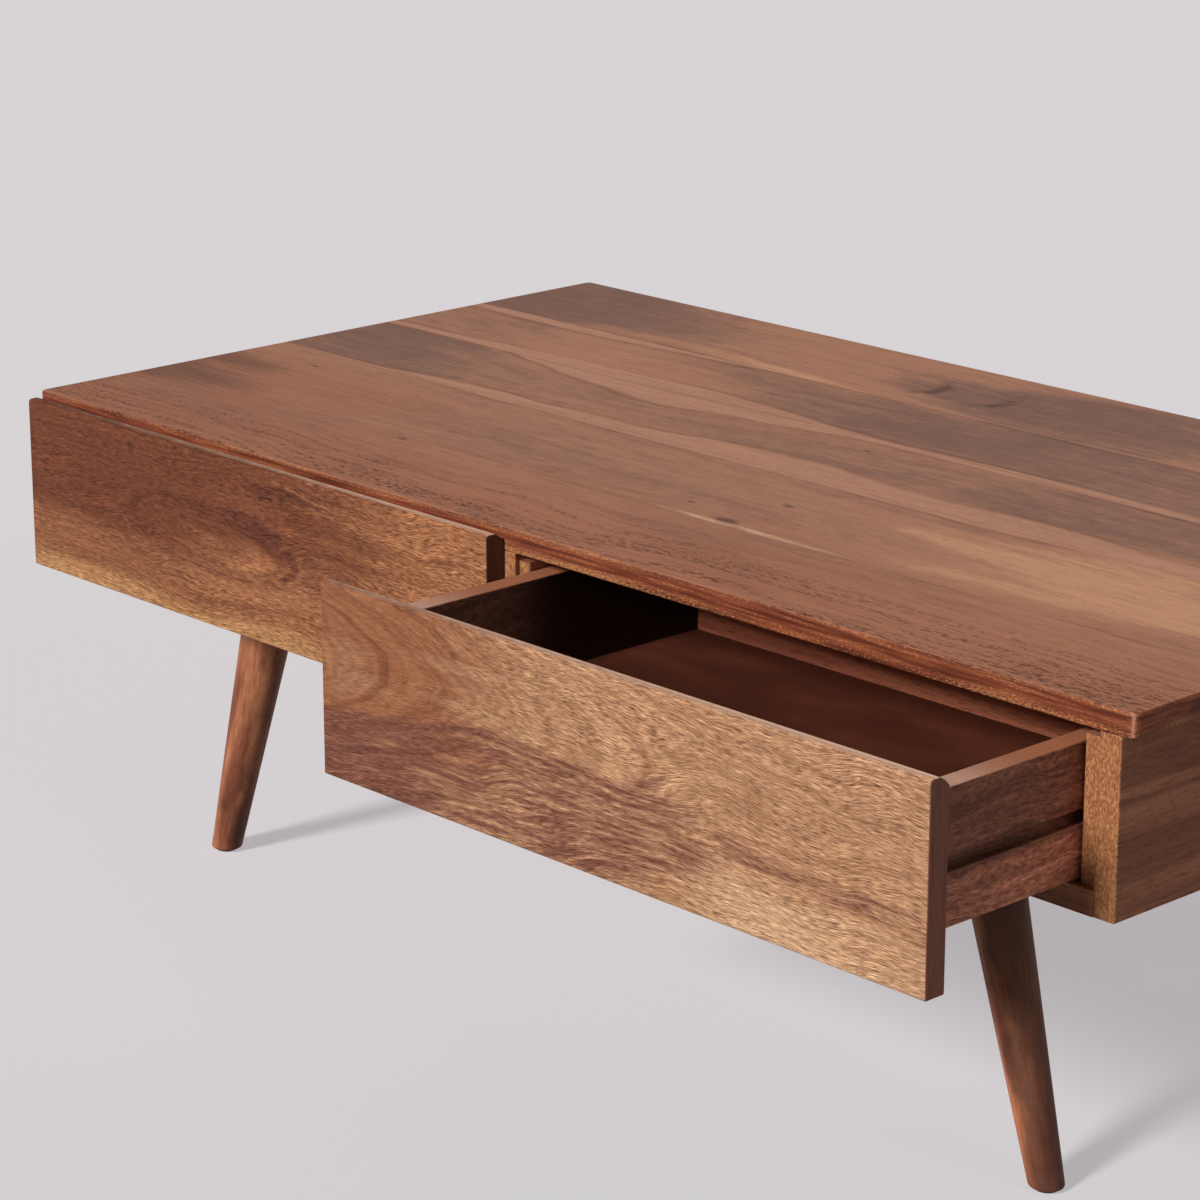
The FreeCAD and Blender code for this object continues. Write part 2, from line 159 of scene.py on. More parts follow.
def add_piece(name, rows, wear, body, slot, *nodes):
    """A closed skin over rows[i, j], round in j, with end faces on the first and last row.

    The volume is the sum of the corners' triple products. It is negative where the faces look inwards.
    """
    count, around = rows.shape[:2]
    index = np.arange(count * around).reshape(count, around)
    beside = np.roll(index, -1, axis=1)
    quads = np.stack([index[:-1], beside[:-1], beside[1:], index[1:]], axis=-1).reshape(-1, 4)
    points = rows.reshape(-1, 3)
    corners = points[quads] - points.mean(axis=0)
    volume = np.sum(corners[:, 0] * np.cross(corners[:, 1], corners[:, 2]))
    ends = [index[0, ::-1].tolist(), index[-1].tolist()]
    if volume < 0:
        quads = quads[:, ::-1]
        ends = [end[::-1] for end in ends]
    mesh = bpy.data.meshes.new(name)
    mesh.from_pydata(points.tolist(), [], quads.tolist() + ends)
    mesh.shade_smooth()
    wear_and_highlight = mesh.attributes.new("wear", "FLOAT", "POINT")
    wear_and_highlight.data.foreach_set("value", np.ravel(wear).astype(np.float32))
    piece = bpy.data.objects.new(name, mesh)
    bpy.context.scene.collection.objects.link(piece)
    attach(piece, body)
    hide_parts(*nodes)
    pieces[name] = piece


def node_box(node):
    """Lowest and highest corner of a CAD node, as arrays."""
    low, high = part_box(node)
    return np.array(low), np.array(high)


print("the top's node spans", [np.round(corner, 3).tolist() for corner in node_box("table_top")])

# %% [markdown]
# ## The table top
# One glued panel of planks. Its plan is a rectangle with small corner rounds, carried upwards through its
# thickness, with the upper and lower edges eased.

# %% Table top
top_corner = 6.0 * mm
top_edge = 2.0 * mm
top_low, top_high = node_box("table_top")
rows, wear = carried(rectangle(top_low, top_high), top_corner, top_low[2], top_high[2], top_edge)
add_piece("plank_top", stood_up(rows, "zxy"), wear, "carcass", "top_wood", "table_top")
print("table top", np.round(top_high - top_low, 4))

# %% [markdown]
# ## Plain boards of the carcass and the drawer backs
# Ends, back, divider and drawer backs are flat boards. Each is the rectangle of its face, carried through
# its thickness, with a slight round on all twelve edges.

# %% Plain boards
board_edge = 1.0 * mm
board_axes = {"x": "xyz", "y": "yzx"}


def plain_board(name, node, thickness, body, slot):
    """A board whose face is a rectangle with eased corners, carried through its thickness."""
    low, high = node_box(node)
    axes = board_axes[thickness]
    path, first, second = ("xyz".index(letter) for letter in axes)
    face = rectangle(low[[first, second]], high[[first, second]])
    rows, wear = carried(face, board_edge, low[path], high[path], board_edge)
    add_piece(name, stood_up(rows, axes), wear, body, slot, node)


for side in ("left", "right"):
    plain_board("end_board_" + side, "side_panel_" + side, "x", "carcass", "carcass_wood")
    plain_board("drawer_back_" + side, f"drawer_{side}_back", "y", "drawer_" + side, "drawer_wood")
plain_board("back_board", "back_panel", "y", "carcass", "carcass_wood")
plain_board("divider_board", "centre_divider", "x", "carcass", "carcass_wood")
print("plain boards", [name for name in pieces if name != "plank_top"])

# %% [markdown]
# ## Drawer fronts
# A front has no handle. Fingers hook behind its top edge, where the back face is planed off in a slightly
# bulging bevel. The section shows all of that, so the section is the outline, carried along the front.

# %% Drawer fronts
front_arris = 3.0 * mm
front_foot = 1.5 * mm
front_end = 0.9 * mm
pull_width = 9.0 * mm
pull_height = 7.5 * mm
pull_bulge = 0.8 * mm
pull_rounds = (4.0 * mm, 10.0 * mm, 1.5 * mm)


def drawer_front(side):
    """The front's section in (y, z), carried along x, and the front's size.

    The corners go down the face, along the foot, up the back to the pull and over its bulge to the top. The
    bulge lies pull_bulge outside the straight bevel, on its middle normal.
    """
    node = f"drawer_{side}_front"
    low, high = node_box(node)
    pull_top = np.array([high[1] - pull_width, high[2]])
    pull_foot = np.array([high[1], high[2] - pull_height])
    across = np.array([pull_height, pull_width]) / np.hypot(pull_height, pull_width)
    pull_middle = (pull_top + pull_foot) / 2 + across * pull_bulge
    corners = [(low[1], high[2]), (low[1], low[2]), (high[1], low[2]), pull_foot, pull_middle, pull_top]
    radii = [front_arris, front_foot, front_foot, pull_rounds[2], pull_rounds[1], pull_rounds[0]]
    rows, wear = carried(corners, radii, low[0], high[0], front_end)
    add_piece("front_board_" + side, stood_up(rows, "xyz"), wear, "drawer_" + side, "front_wood", node)
    return high - low


for side in ("left", "right"):
    print("drawer front", side, np.round(drawer_front(side), 4))

# %% [markdown]
# ## Drawer sides
# Each side has a groove ploughed along its outer face, which slides on a wooden runner. A boolean would
# cut it, but a groove that runs the whole length is simply part of the section, so the section is carried
# along y.

# %% Drawer sides
groove_height = 10.4 * mm
groove_depth = 7.0 * mm
groove_below_top = 47.6 * mm
side_top_round = 1.5 * mm
side_round = 0.5 * mm


def drawer_side(side, place):
    """The side's section in (x, z) with its runner groove, carried along y."""
    node = f"drawer_{side}_{place}_side"
    low, high = node_box(node)
    groove_on_low_x = (side == "right") == (place == "inner")
    outer, inner = (low[0], high[0]) if groove_on_low_x else (high[0], low[0])
    floor = outer + np.sign(inner - outer) * groove_depth
    roof = high[2] - groove_below_top
    sill = roof - groove_height
    corners = [(outer, high[2]), (outer, roof), (floor, roof), (floor, sill), (outer, sill),
               (outer, low[2]), (inner, low[2]), (inner, high[2])]
    radii = [side_top_round] + 6 * [side_round] + [side_top_round]
    if not groove_on_low_x:
        corners, radii = corners[::-1], radii[::-1]
    rows, wear = carried(corners, radii, low[1], high[1], side_round)
    name = f"drawer_side_{side}_{place}"
    add_piece(name, stood_up(rows, "yxz"), wear, "drawer_" + side, "drawer_wood", node)


for side in ("left", "right"):
    for place in ("inner", "outer"):
        drawer_side(side, place)
print("pieces so far", len(pieces))

# %% [markdown]
# ## Turned legs
# A leg is a cone round a slanted axis, cut level where it meets its plate and the floor. Cutting a cone
# with a boolean leaves long thin faces. Here each straight line of the cone is followed instead: its level
# changes evenly, so the point of every line at a chosen level is known at once, and rows of equal level
# follow.

# %% Axes of the legs
pad_radius = 8.5 * mm
leg_places = [f"{end}_{side}" for end in ("front", "back") for side in ("left", "right")]


def leg_axis(place):
    """Foot and head of a leg's middle line: over its pad's centre, and under its plate's centre."""
    plate_low, plate_high = node_box("leg_plate_" + place)
    leg_low, leg_high = node_box("leg_" + place)
    pads_low, pads_high = node_box("foot_pads")
    foot_x = pads_high[0] - pad_radius if place.endswith("right") else pads_low[0] + pad_radius
    foot_y = pads_high[1] - pad_radius if place.startswith("back") else pads_low[1] + pad_radius
    head_x, head_y = (plate_low + plate_high)[:2] / 2
    return np.array([foot_x, foot_y, leg_low[2]]), np.array([head_x, head_y, leg_high[2]])


leg_axes = {place: leg_axis(place) for place in leg_places}
print("feet stand at", {place: np.round(foot[:2], 3).tolist() for place, (foot, head) in leg_axes.items()})

# %% Legs
leg_head_radius = 23.4 * mm
leg_foot_radius = 13.0 * mm
leg_foot_round = 2.5 * mm
leg_head_round = 0.6 * mm
leg_sides = 72
leg_levels = 14


def turned_leg(foot, head):
    """Rows of a slanted cone at equal levels, and the wear of each point.

    The line at angle a starts at foot + radius * spoke(a) and runs to head + radius * spoke(a). Its level
    is linear in the share of the way, so share = (level - level at the foot) / (level gained on the line).
    Near both ends the row is drawn in towards its centre by a quarter circle.
    """
    axis = (head - foot) / np.linalg.norm(head - foot)
    across = np.cross(axis, (0, 1, 0))
    across = across / np.linalg.norm(across)
    angle = np.linspace(0, 2 * np.pi, leg_sides, endpoint=False)[:, None]
    spoke = np.cos(angle) * across + np.sin(angle) * np.cross(axis, across)
    turn = np.linspace(0, np.pi / 2, arc_steps + 1)
    foot_levels = foot[2] + leg_foot_round * (1 - np.cos(turn))
    head_levels = head[2] - leg_head_round * (1 - np.cos(turn[::-1]))
    shaft = np.linspace(foot_levels[-1] + flat_margin, head_levels[0] - flat_margin, leg_levels)
    levels = np.concatenate([foot_levels[:1], foot_levels, shaft, head_levels, head_levels[-1:]])
    foot_inset = leg_foot_round * (1 - np.sin(turn))
    head_inset = leg_head_round * (1 - np.sin(turn[::-1]))
    inset = np.concatenate([[leg_foot_round + flat_margin], foot_inset, np.zeros(leg_levels), head_inset,
                            [leg_head_round + flat_margin]])
    grows = leg_head_radius - leg_foot_radius
    gained = head[2] - foot[2] + grows * spoke[:, 2]
    share = (levels[:, None] - foot[2] - leg_foot_radius * spoke[None, :, 2]) / gained[None]
    radius = leg_foot_radius + grows * share
    points = foot + (head - foot) * share[:, :, None] + spoke[None] * radius[:, :, None]
    centre = foot + (head - foot) * ((levels - foot[2]) / (head[2] - foot[2]))[:, None]
    inwards = centre[:, None] - points
    inwards = inwards / np.linalg.norm(inwards, axis=2, keepdims=True)
    rows = points + inwards * inset[:, None, None]
    return rows, np.broadcast_to((inset > 0)[:, None], rows.shape[:2])


for place, (foot, head) in leg_axes.items():
    rows, wear = turned_leg(foot, head)
    add_piece("turned_leg_" + place, rows, wear, "carcass", "leg_wood", "leg_" + place)
print("turned legs", [name for name in pieces if "leg" in name])

# %% [markdown]
# ## Shader arithmetic
# A finish is a sum of many small effects. Wiring Math nodes by hand hides the formula, so a socket is
# wrapped in a class whose + - * / add the nodes: the formula then reads as it would on paper. Every other
# kind of node comes from one method.

# %% Values
class Value:
    """One output socket. Python arithmetic on it adds Math nodes to its tree."""

    def __init__(self, finish, socket):
        self.finish = finish
        self.socket = socket

    def math(self, operation, first, second=0.0):
        """Adds a Math node and returns its result."""
        return self.finish.node("Math", {0: first, 1: second}, operation=operation)

    def __rsub__(self, other):
        """A number minus this value."""
        return self.math("SUBTRACT", other, self)


def math_method(operation):
    """A method that adds one Math node, fed by the value itself and by another value or number."""
    return lambda value, other=0.0: value.math(operation, value, other)


value_methods = {
    "__add__": "ADD", "__radd__": "ADD", "__sub__": "SUBTRACT", "__mul__": "MULTIPLY",
    "__rmul__": "MULTIPLY", "__truediv__": "DIVIDE", "__pow__": "POWER", "__abs__": "ABSOLUTE",
    "__gt__": "GREATER_THAN", "__lt__": "LESS_THAN", "most": "MAXIMUM", "least": "MINIMUM",
    "fraction": "FRACT",
}
for name, operation in value_methods.items():
    setattr(Value, name, math_method(operation))
print("values know", list(value_methods))

# %% Finishes
class Finish:
    """The node tree of a material or a world while it is being wired."""

    def __init__(self, owner):
        owner.use_nodes = True
        self.owner = owner
        self.tree = owner.node_tree
        self.tree.nodes.clear()

    def node(self, kind, sockets=None, output=0, **settings):
        """Adds a node: its settings first, then a value or a link for each socket. Returns one output."""
        made = self.tree.nodes.new("ShaderNode" + kind)
        for setting, value in settings.items():
            setattr(made, setting, value)
        for socket, value in (sockets or {}).items():
            if isinstance(value, Value):
                self.tree.links.new(value.socket, made.inputs[socket])
            else:
                made.inputs[socket].default_value = value
        return Value(self, made.outputs[output]) if made.outputs else None

    def place(self):
        """The Object coordinates x, y and z, in metres."""
        spot = self.node("TexCoord", output="Object")
        return [self.node("SeparateXYZ", {0: spot}, letter) for letter in "XYZ"]

    def noise(self, first, second, third, detail=2.0):
        """Smooth noise from 0 to 1 at a point whose three numbers are already scaled."""
        spot = self.node("CombineXYZ", {0: first, 1: second, 2: third})
        return self.node("TexNoise", {"Vector": spot, "Scale": 1.0, "Detail": detail})

    def swing(self, first, second, third, detail=2.0):
        """The same noise about 0, to push lines and tones to either side."""
        return self.noise(first, second, third, detail) - 0.5

    def step(self, value, low, high):
        """A smooth step from 0 at low to 1 at high; it falls where low is the larger."""
        return self.node("MapRange", {0: value, 1: low, 2: high}, interpolation_type="SMOOTHSTEP")

    def line(self, value, centre, outer, inner):
        """A soft line: 1 within inner of the centre, falling to 0 at outer."""
        return self.step(abs(value - centre), outer, inner)

    def swell(self, value, start, end):
        """1 halfway between start and end, and 0 at both and beyond."""
        return self.line(value, (start + end) / 2, (end - start) / 2, 0.0)

    def spot(self, along, across, centre, size, stretch=2.0):
        """1 in the middle of a spot, falling to 0 at size across and at stretch times size along."""
        off = ((along - centre[0]) / stretch) ** 2 + (across - centre[1]) ** 2
        return self.step(off / size ** 2, 1.0, 0.0)

    def mix(self, first, second, share, how="MIX"):
        """Two colours mixed by a share from 0 to 1."""
        return self.node("Mix", {0: share, 6: first, 7: second}, 2, data_type="RGBA", blend_type=how)

    def shade(self, colour, tint, share):
        """A colour multiplied by a tint, by a share from 0 to 1."""
        return self.mix(colour, tint, share, "MULTIPLY")

    def end(self, surface, output="OutputMaterial"):
        """Links the finished surface to the output. Returns the material or world."""
        self.node(output, {"Surface": surface})
        return self.owner


def paint(red, green, blue):
    """A colour as a screen shows it, 0 to 255, turned into the linear values that light works with."""
    levels = np.array([red, green, blue]) / 255
    linear = np.where(levels <= 0.04045, levels / 12.92, ((levels + 0.055) / 1.055) ** 2.4)
    return (*linear.tolist(), 1.0)


print("mid brown is", [round(c, 3) for c in paint(150, 100, 75)])

# %% [markdown]
# ## What all the wood shares
# Real boards are cut from one stem, so their marks lie in three dimensions: soft streaks and short open
# pores, long along the fibres and fine across them. Noise stretched along the fibres gives both, and it
# gives dots instead of lines on end grain without any extra work. A satin lacquer then covers everything.

# %% Fibres and lacquer
streak_pace = (14.0, 380.0)
pore_pace = (95.0, 950.0)
pore_depth = 0.35 * mm
dent_strength = 0.35
satin_gloss = 0.22
streak_shade = (0.68, 0.60, 0.55, 1.0)
streak_range = (0.46, 0.70)


def new_finish(name):
    """An empty material to wire."""
    return Finish(bpy.data.materials.new(name))


def fibre_marks(finish, along, across, through):
    """Soft streaks and fine pores, both about 0.5: noise that is slow along the fibres and quick across."""
    streaks = finish.noise(along * streak_pace[0], across * streak_pace[1], through * streak_pace[1], 3.0)
    pores = finish.noise(along * pore_pace[0], across * pore_pace[1], through * pore_pace[1], 1.0)
    return streaks, pores


def streaked(finish, colour, streaks, share):
    """A colour shaded where the streaks are strong."""
    return finish.shade(colour, streak_shade, finish.step(streaks, *streak_range) * share)


def worn(finish):
    """How far stain is rubbed off: the wear attribute, 1 on eased edges."""
    return finish.node("Attribute", output="Fac", attribute_name="wear")


def lacquer(finish, colour, streaks, pores, roughness=0.46):
    """Satin lacquer over a coloured wood: rougher in the pores, which also dent the surface."""
    height = streaks * 0.5 - pores
    dents = finish.node("Bump", {"Strength": dent_strength, "Distance": pore_depth, "Height": height})
    return finish.end(finish.node("BsdfPrincipled", {
        "Base Color": colour, "Roughness": pores * 0.18 + streaks * 0.12 + roughness, "Normal": dents,
        "Specular IOR Level": satin_gloss}))


def dress(name, material):
    """Puts a finish on a piece."""
    pieces[name].data.materials.append(material)


print("pores are about", [round(1000 / pace, 1) for pace in pore_pace], "mm long and wide")

# %% [markdown]
# ## The planks of the top
# Five planks of uneven width run along the table, glued and planed flat. Five meshes would leave gaps to
# hide, so the top is one slab and its finish works out which plank a point is on. The noise jumps to
# another place at each seam, which gives every plank fibres of its own.

# %% Fibres of the planks
plank_seams = (0.123, 0.269, 0.388, 0.506)


def plank_grain(finish):
    """The place of a point on the planks, and the noises that its marks share.

    plank counts the seams in front of the point. fibre is the depth pushed aside by drift and ripple, so
    the fibres are its lines of equal value. ragged is the way along, pushed to and fro in long tongues.
    """
    x, y, z = finish.place()
    along = x - float(top_low[0])
    depth = y - float(top_low[1])
    plank = 0.0
    for seam in plank_seams:
        plank = (depth > seam) + plank
    drift = finish.swing(along * 2.6, depth * 9, plank * 5.1)
    ripple = finish.swing(along * 11, depth * 30, plank * 3.7, 1.0)
    fibre = depth + drift * 0.05 + ripple * 0.008
    return SimpleNamespace(
        along=along, depth=depth, z=z, plank=plank, ripple=ripple, fibre=fibre,
        ragged=along + finish.swing(along * 2.8, fibre * 19, plank * 3.1, 3.0) * 0.46,
        cloud=finish.swing(along * 2.6 + plank * 4.3, fibre * 15, plank * 2.9),
        wave=finish.swing(along * 5 + plank * 2.1, plank * 3.3, 0.5, 1.0),
        mottle=finish.swing(along * 22, fibre * 55, plank, 3.0),
        silk=finish.swing(along * 55, fibre * 240, plank * 1.9, 3.0))


print("plank widths in mm", [round(w * 1000) for w in np.diff((0, *plank_seams, top_high[1] - top_low[1]))])

# %% [markdown]
# ## Heartwood and sapwood
# Each plank has its own heartwood, from pinkish tan to a greyish brown, that changes along the plank. Light
# sapwood lines the seams in strips that swell and shrink. A strip is a reach from its seam, so the distance
# to its end also gives its dark outline and the bands of grain beside it.

# %% Heartwood and sapwood
plank_tan = paint(199, 142, 113)
plank_grey = paint(150, 112, 96)
plank_sap = paint(214, 157, 128)
plank_gold = paint(230, 170, 131)
plank_hearts = ((0.55, 0.25, 0.10, 0.50), (0.30, 0.20, 0.20, 0.90), (0.90, 0.36, 0.04, 0.24),
                (0.38, 0.78, 0.26, 0.68), (0.95, 0.15, 0.08, 0.38))
heart_patches = ((0.99, 0.205, 0.100, 2.2, -1.2), (0.68, 0.575, 0.095, 2.0, 0.8),
                 (0.90, 0.330, 0.075, 2.4, 0.4), (0.25, 0.450, 0.055, 2.4, -0.4),
                 (0.42, 0.560, 0.065, 2.0, -0.3), (0.30, 0.517, 0.017, 10.0, -1.1),
                 (0.74, 0.062, 0.050, 2.2, 0.4), (1.02, 0.060, 0.060, 3.0, -0.4))
sap_strips = ((0.269, 1, 0.05, 1.45, 0.040), (0.388, -1, 0.15, 0.62, 0.036),
              (0.388, 1, -0.20, 0.86, 0.030), (0.388, 1, 0.25, 1.50, 0.018),
              (0.269, -1, -0.40, 1.50, 0.010), (0.506, -1, -0.20, 0.46, 0.018))
contour_far = 0.2


def heartwood(finish, grain):
    """How grey the heart is: on each plank a step from its left to its right tone, plus soft patches."""
    hearts = [finish.step(grain.ragged, start, end) * (right - left) + left
              for left, right, start, end in plank_hearts]
    heart_and_shade = hearts[0]
    for seam, before, after in zip(plank_seams, hearts, hearts[1:]):
        heart_and_shade = heart_and_shade + (grain.depth > seam) * (after - before)
    for along, depth, size, stretch, strength in heart_patches:
        heart_and_shade = heart_and_shade + finish.spot(grain.ragged, grain.fibre, (along, depth), size, stretch) * strength
    return heart_and_shade


def sapwood(finish, grain):
    """How far a point is in the sapwood, from 0 to 1, and the distance to the sapwood's outline.

    Each strip lies to one side of its seam and reaches from it by a swell along the plank, plus noise. The
    strips are joined by their largest value, and their outlines by the least distance.
    """
    uneven = grain.wave + grain.cloud + grain.ripple * 0.5
    sap = 0.0
    contour = contour_far
    for seam, side, start, end, reach in sap_strips:
        off = (grain.depth - seam) * side
        beyond = finish.swell(grain.along, start, end) * reach + uneven * (reach * 0.7) - off
        sap = (finish.step(beyond, -0.001, 0.006) * (off > 0.0)).most(sap)
        contour = (abs(beyond) + (off < 0.0) * contour_far).least(contour)
    return sap, contour


def plank_colour(finish, grain):
    """Gold, tan or grey by the heart's tone, sapwood over it, and a thin dark outline round the sapwood."""
    sap, contour = sapwood(finish, grain)
    bands = finish.swing(grain.along * 2.5, contour * 120 + grain.plank * 7, grain.fibre * 25, 3.0)
    tone = heartwood(finish, grain) + grain.cloud * 0.9 + bands + grain.mottle * 0.8 + grain.silk * 0.9
    colour = finish.mix(plank_tan, plank_grey, finish.step(tone, -0.1, 1.1))
    colour = finish.mix(colour, plank_gold, finish.step(tone, -0.1, -1.2))
    colour = finish.mix(colour, plank_sap, sap * (grain.mottle * 0.8 + 0.8))
    outline = finish.step(contour, 0.0040, 0.0) * finish.step(grain.wave + grain.cloud, -0.30, 0.15)
    return finish.shade(colour, streak_shade, outline * 0.55)


print("sapwood strips", len(sap_strips), "patches of heartwood", len(heart_patches))

# %% [markdown]
# ## Knots, seams and edges of the top
# A few small knots interrupt the grain, two of them only as broken arcs, and some glue has dried along the
# first seam. The pores show most along the front, where the plank is cut across its rings. The edges hold
# more of the red stain than the face does; gold along the arrises, most along their lower half, is partly
# rubbed wear and partly a painted highlight.

# %% Knots and seams
plank_red = paint(191, 124, 93)
plank_pore = paint(92, 55, 42)
plank_knot = paint(98, 72, 62)
glue_pale = paint(250, 200, 158)
plank_knots = ((0.696, 0.135, 0.008, 0.8), (0.093, 0.228, 0.003, 0.7), (0.700, 0.198, 0.004, 0.7),
               (0.640, 0.153, 0.003, 0.6), (0.628, 0.364, 0.003, 0.7), (0.340, 0.118, 0.004, 0.6))
knot_arcs = ((0.500, 0.562, 0.028), (0.570, 0.566, 0.032))
arc_line = (0.0115, 0.0010)
arc_start = (0.004, 0.024)
dark_corner = ((-0.08, 0.150), 0.125, 1.4)
glue_streak = ((0.72, 0.1275), 0.0050, 24.0)
seam_line = (0.0009, 0.0002)


def plank_knots_and_seams(finish, grain, colour):
    """Spots for the knots, the dark corner and the glue, arcs that noise breaks up, and fine seams."""
    corner = finish.spot(grain.ragged, grain.fibre, *dark_corner)
    colour = finish.mix(colour, plank_knot, corner * 0.6)
    for along, depth, size, share in plank_knots:
        knot = finish.spot(grain.along, grain.depth, (along, depth), size)
        colour = finish.mix(colour, plank_knot, knot * share)
    for along, depth, radius in knot_arcs:
        across = grain.depth - depth + grain.cloud * 0.03
        reach = ((grain.along - along) ** 2 + across ** 2) ** 0.5 + grain.ripple * 0.012
        arc = finish.line(reach, radius, *arc_line) * finish.step(grain.along - along, *arc_start)
        broken = finish.step(grain.mottle + grain.silk + grain.cloud, -0.25, 0.25)
        colour = finish.mix(colour, plank_knot, arc * broken * 0.75)
    glue = finish.spot(grain.along, grain.depth, *glue_streak) * finish.step(grain.mottle, -0.22, 0.10)
    colour = finish.mix(colour, glue_pale, glue * 0.85)
    seam_off = 1.0
    for seam in plank_seams:
        seam_off = abs(grain.depth - seam).least(seam_off)
    return finish.mix(colour, plank_pore, finish.step(seam_off, *seam_line) * 0.3)


print("knots", len(plank_knots), "arcs", len(knot_arcs))

# %% Plank finish
edge_dark = paint(90, 40, 25)
edge_red = paint(143, 74, 46)
edge_gold = paint(216, 156, 104)
edge_reach = (0.0016, 0.0004)
wear_highlight_reach = (0.0020, 0.0005)
wear_highlight_height = (8 * mm, 1 * mm)
red_front = (0.20, 0.01)
red_left = (0.45, 0.05)
red_left_depth = (0.27, 0.18)
open_pores = (0.11, 0.02)


def plank_edges(finish, grain, colour):
    """Streaky red wherever the distance to the nearest edge is small, with gold on the arrises that is
    partly rubbed wear and partly a painted highlight.
    """
    length, width = (top_high - top_low)[:2].tolist()
    border = grain.depth.least(width - grain.depth).least(grain.along).least(length - grain.along)
    above = grain.z - float(top_low[2])
    edge_grain = finish.noise(grain.along * 14, grain.z * 330, grain.depth * 40, 4.0)
    glitter = finish.noise(grain.along * 360, grain.z * 900, grain.depth * 900)
    edge_tone = finish.mix(edge_dark, edge_red, finish.step(edge_grain, 0.32, 0.66))
    edge_tone = finish.mix(edge_tone, edge_gold, finish.step(glitter + edge_grain, 1.05, 1.35) * 0.4)
    colour = finish.mix(colour, edge_tone, finish.step(border, *edge_reach))
    # Gold on the arrises is partly rubbed wear and partly a painted highlight.
    lower = finish.step(above, *wear_highlight_height) * finish.step(border, *wear_highlight_reach)
    wear_and_highlight = (worn(finish) * 0.35).most(lower) * finish.step(glitter + grain.cloud, 0.44, 0.66)
    return finish.mix(colour, edge_gold, wear_and_highlight * 0.60)


def plank_finish():
    """Plank colour, redder at the front and left, then knots, streaks, dashes of pores and edges."""
    finish = new_finish("oiled_planks")
    grain = plank_grain(finish)
    near_front = finish.step(grain.depth, *red_front)
    near_left = finish.step(grain.ragged, *red_left) * finish.step(grain.fibre, *red_left_depth)
    redness = near_front.most(near_left * 0.8) * 0.7
    colour = finish.mix(plank_colour(finish, grain), plank_red, redness)
    colour = plank_knots_and_seams(finish, grain, colour)
    streaks, pores = fibre_marks(finish, grain.along + grain.plank * 1.7, grain.fibre, grain.z)
    colour = streaked(finish, colour, streaks, near_front * 0.25 + 0.32)
    grown = finish.noise(grain.along * 3, (grain.fibre + grain.wave * 0.05) * 130, grain.plank * 2.3)
    dots = finish.noise(grain.along * 190, grain.fibre * 900, grain.z * 900)
    dashes = finish.step(dots, 0.48, 0.60) * finish.step(grown, 0.42, 0.58)
    colour = finish.mix(colour, plank_pore, dashes * (finish.step(grain.depth, *open_pores) * 0.70 + 0.16))
    return lacquer(finish, plank_edges(finish, grain, colour), streaks, pores)


dress("plank_top", plank_finish())
print("top finished with", len(bpy.data.materials["oiled_planks"].node_tree.nodes), "nodes")

# %% [markdown]
# ## The figure of the drawer fronts
# Both fronts are cut flat from the stem, so their rings show as arches on one and as an oval eye on the
# other. The distance to a stem's middle line that sinks under the board, plus a taper along it, has such
# arches as its lines of equal value. Growth lines and the short flecks of the pores follow these lines.
# Colour also drifts over the whole board, from rust to gold. Places are in metres from the board's lower
# left corner.

# %% Looks of the two fronts
front_looks = {
    "left": {
        "light": paint(167, 111, 75), "deep": paint(115, 64, 42), "foot": paint(184, 134, 90),
        "heart_and_shade": paint(100, 54, 36), "end": paint(88, 52, 38),
        "deep_along": ((0.56, 0.40, 0.60), (0.42, 0.20, 0.40)), "gold_across": (0.076, 0.044, 0.55),
        "foot_zone": ((-0.2, -0.1), (0.022, 0.002), (2.0, 3.0)),
        "patch": ((0.270, 0.069), 0.019, 6.0, 0.30),
        "arches": (0.073, 0.25, 0.125, 0.26, 0.002, 0.0, 0.0, 0.0),
        "growth": (36.0, 0.01, 0.034, 0.030, 0.4), "slant": 0.0,
        "fleck": (0.05, 0.5, 0.75), "rim": (0.15, 0.85, 0.25 * mm),
    },
    "right": {
        "light": paint(187, 140, 105), "deep": paint(152, 97, 66), "foot": paint(206, 163, 127),
        "heart_and_shade": paint(127, 79, 63), "end": paint(132, 83, 66),
        "deep_along": ((0.27, 0.07, 1.0),), "gold_across": (0.062, 0.012, 0.9),
        "foot_zone": ((0.36, 0.43), (0.044, 0.028), (0.44, 0.60)),
        "patch": ((0.02, 0.088), 0.034, 2.2, 0.40),
        "arches": (0.092, 0.0, 0.0, 0.0, 0.050, 0.20, 0.36, 0.16),
        "growth": (74.0, 0.205, 0.125, 0.112, 0.50), "slant": 1.6,
        "fleck": (0.05, 0.26, 0.45), "rim": (0.40, 0.95, 0.50 * mm),
    },
}
slant_end = 0.36
print("a look has", sorted(front_looks["left"]))

# %% Rings and fibres of a front
def ring_field(arches, along, fibre):
    """Distance to the stem's middle line, the root of reach, height and depth squared, plus a taper."""
    level, centre, limit, squeeze, depth, taper, bend, straighten = arches
    reach = abs(along - centre).least(limit) * squeeze
    distance = (reach ** 2 + (fibre - level) ** 2 + depth ** 2) ** 0.5
    return distance + along * taper - (along - bend).most(0.0) * straighten


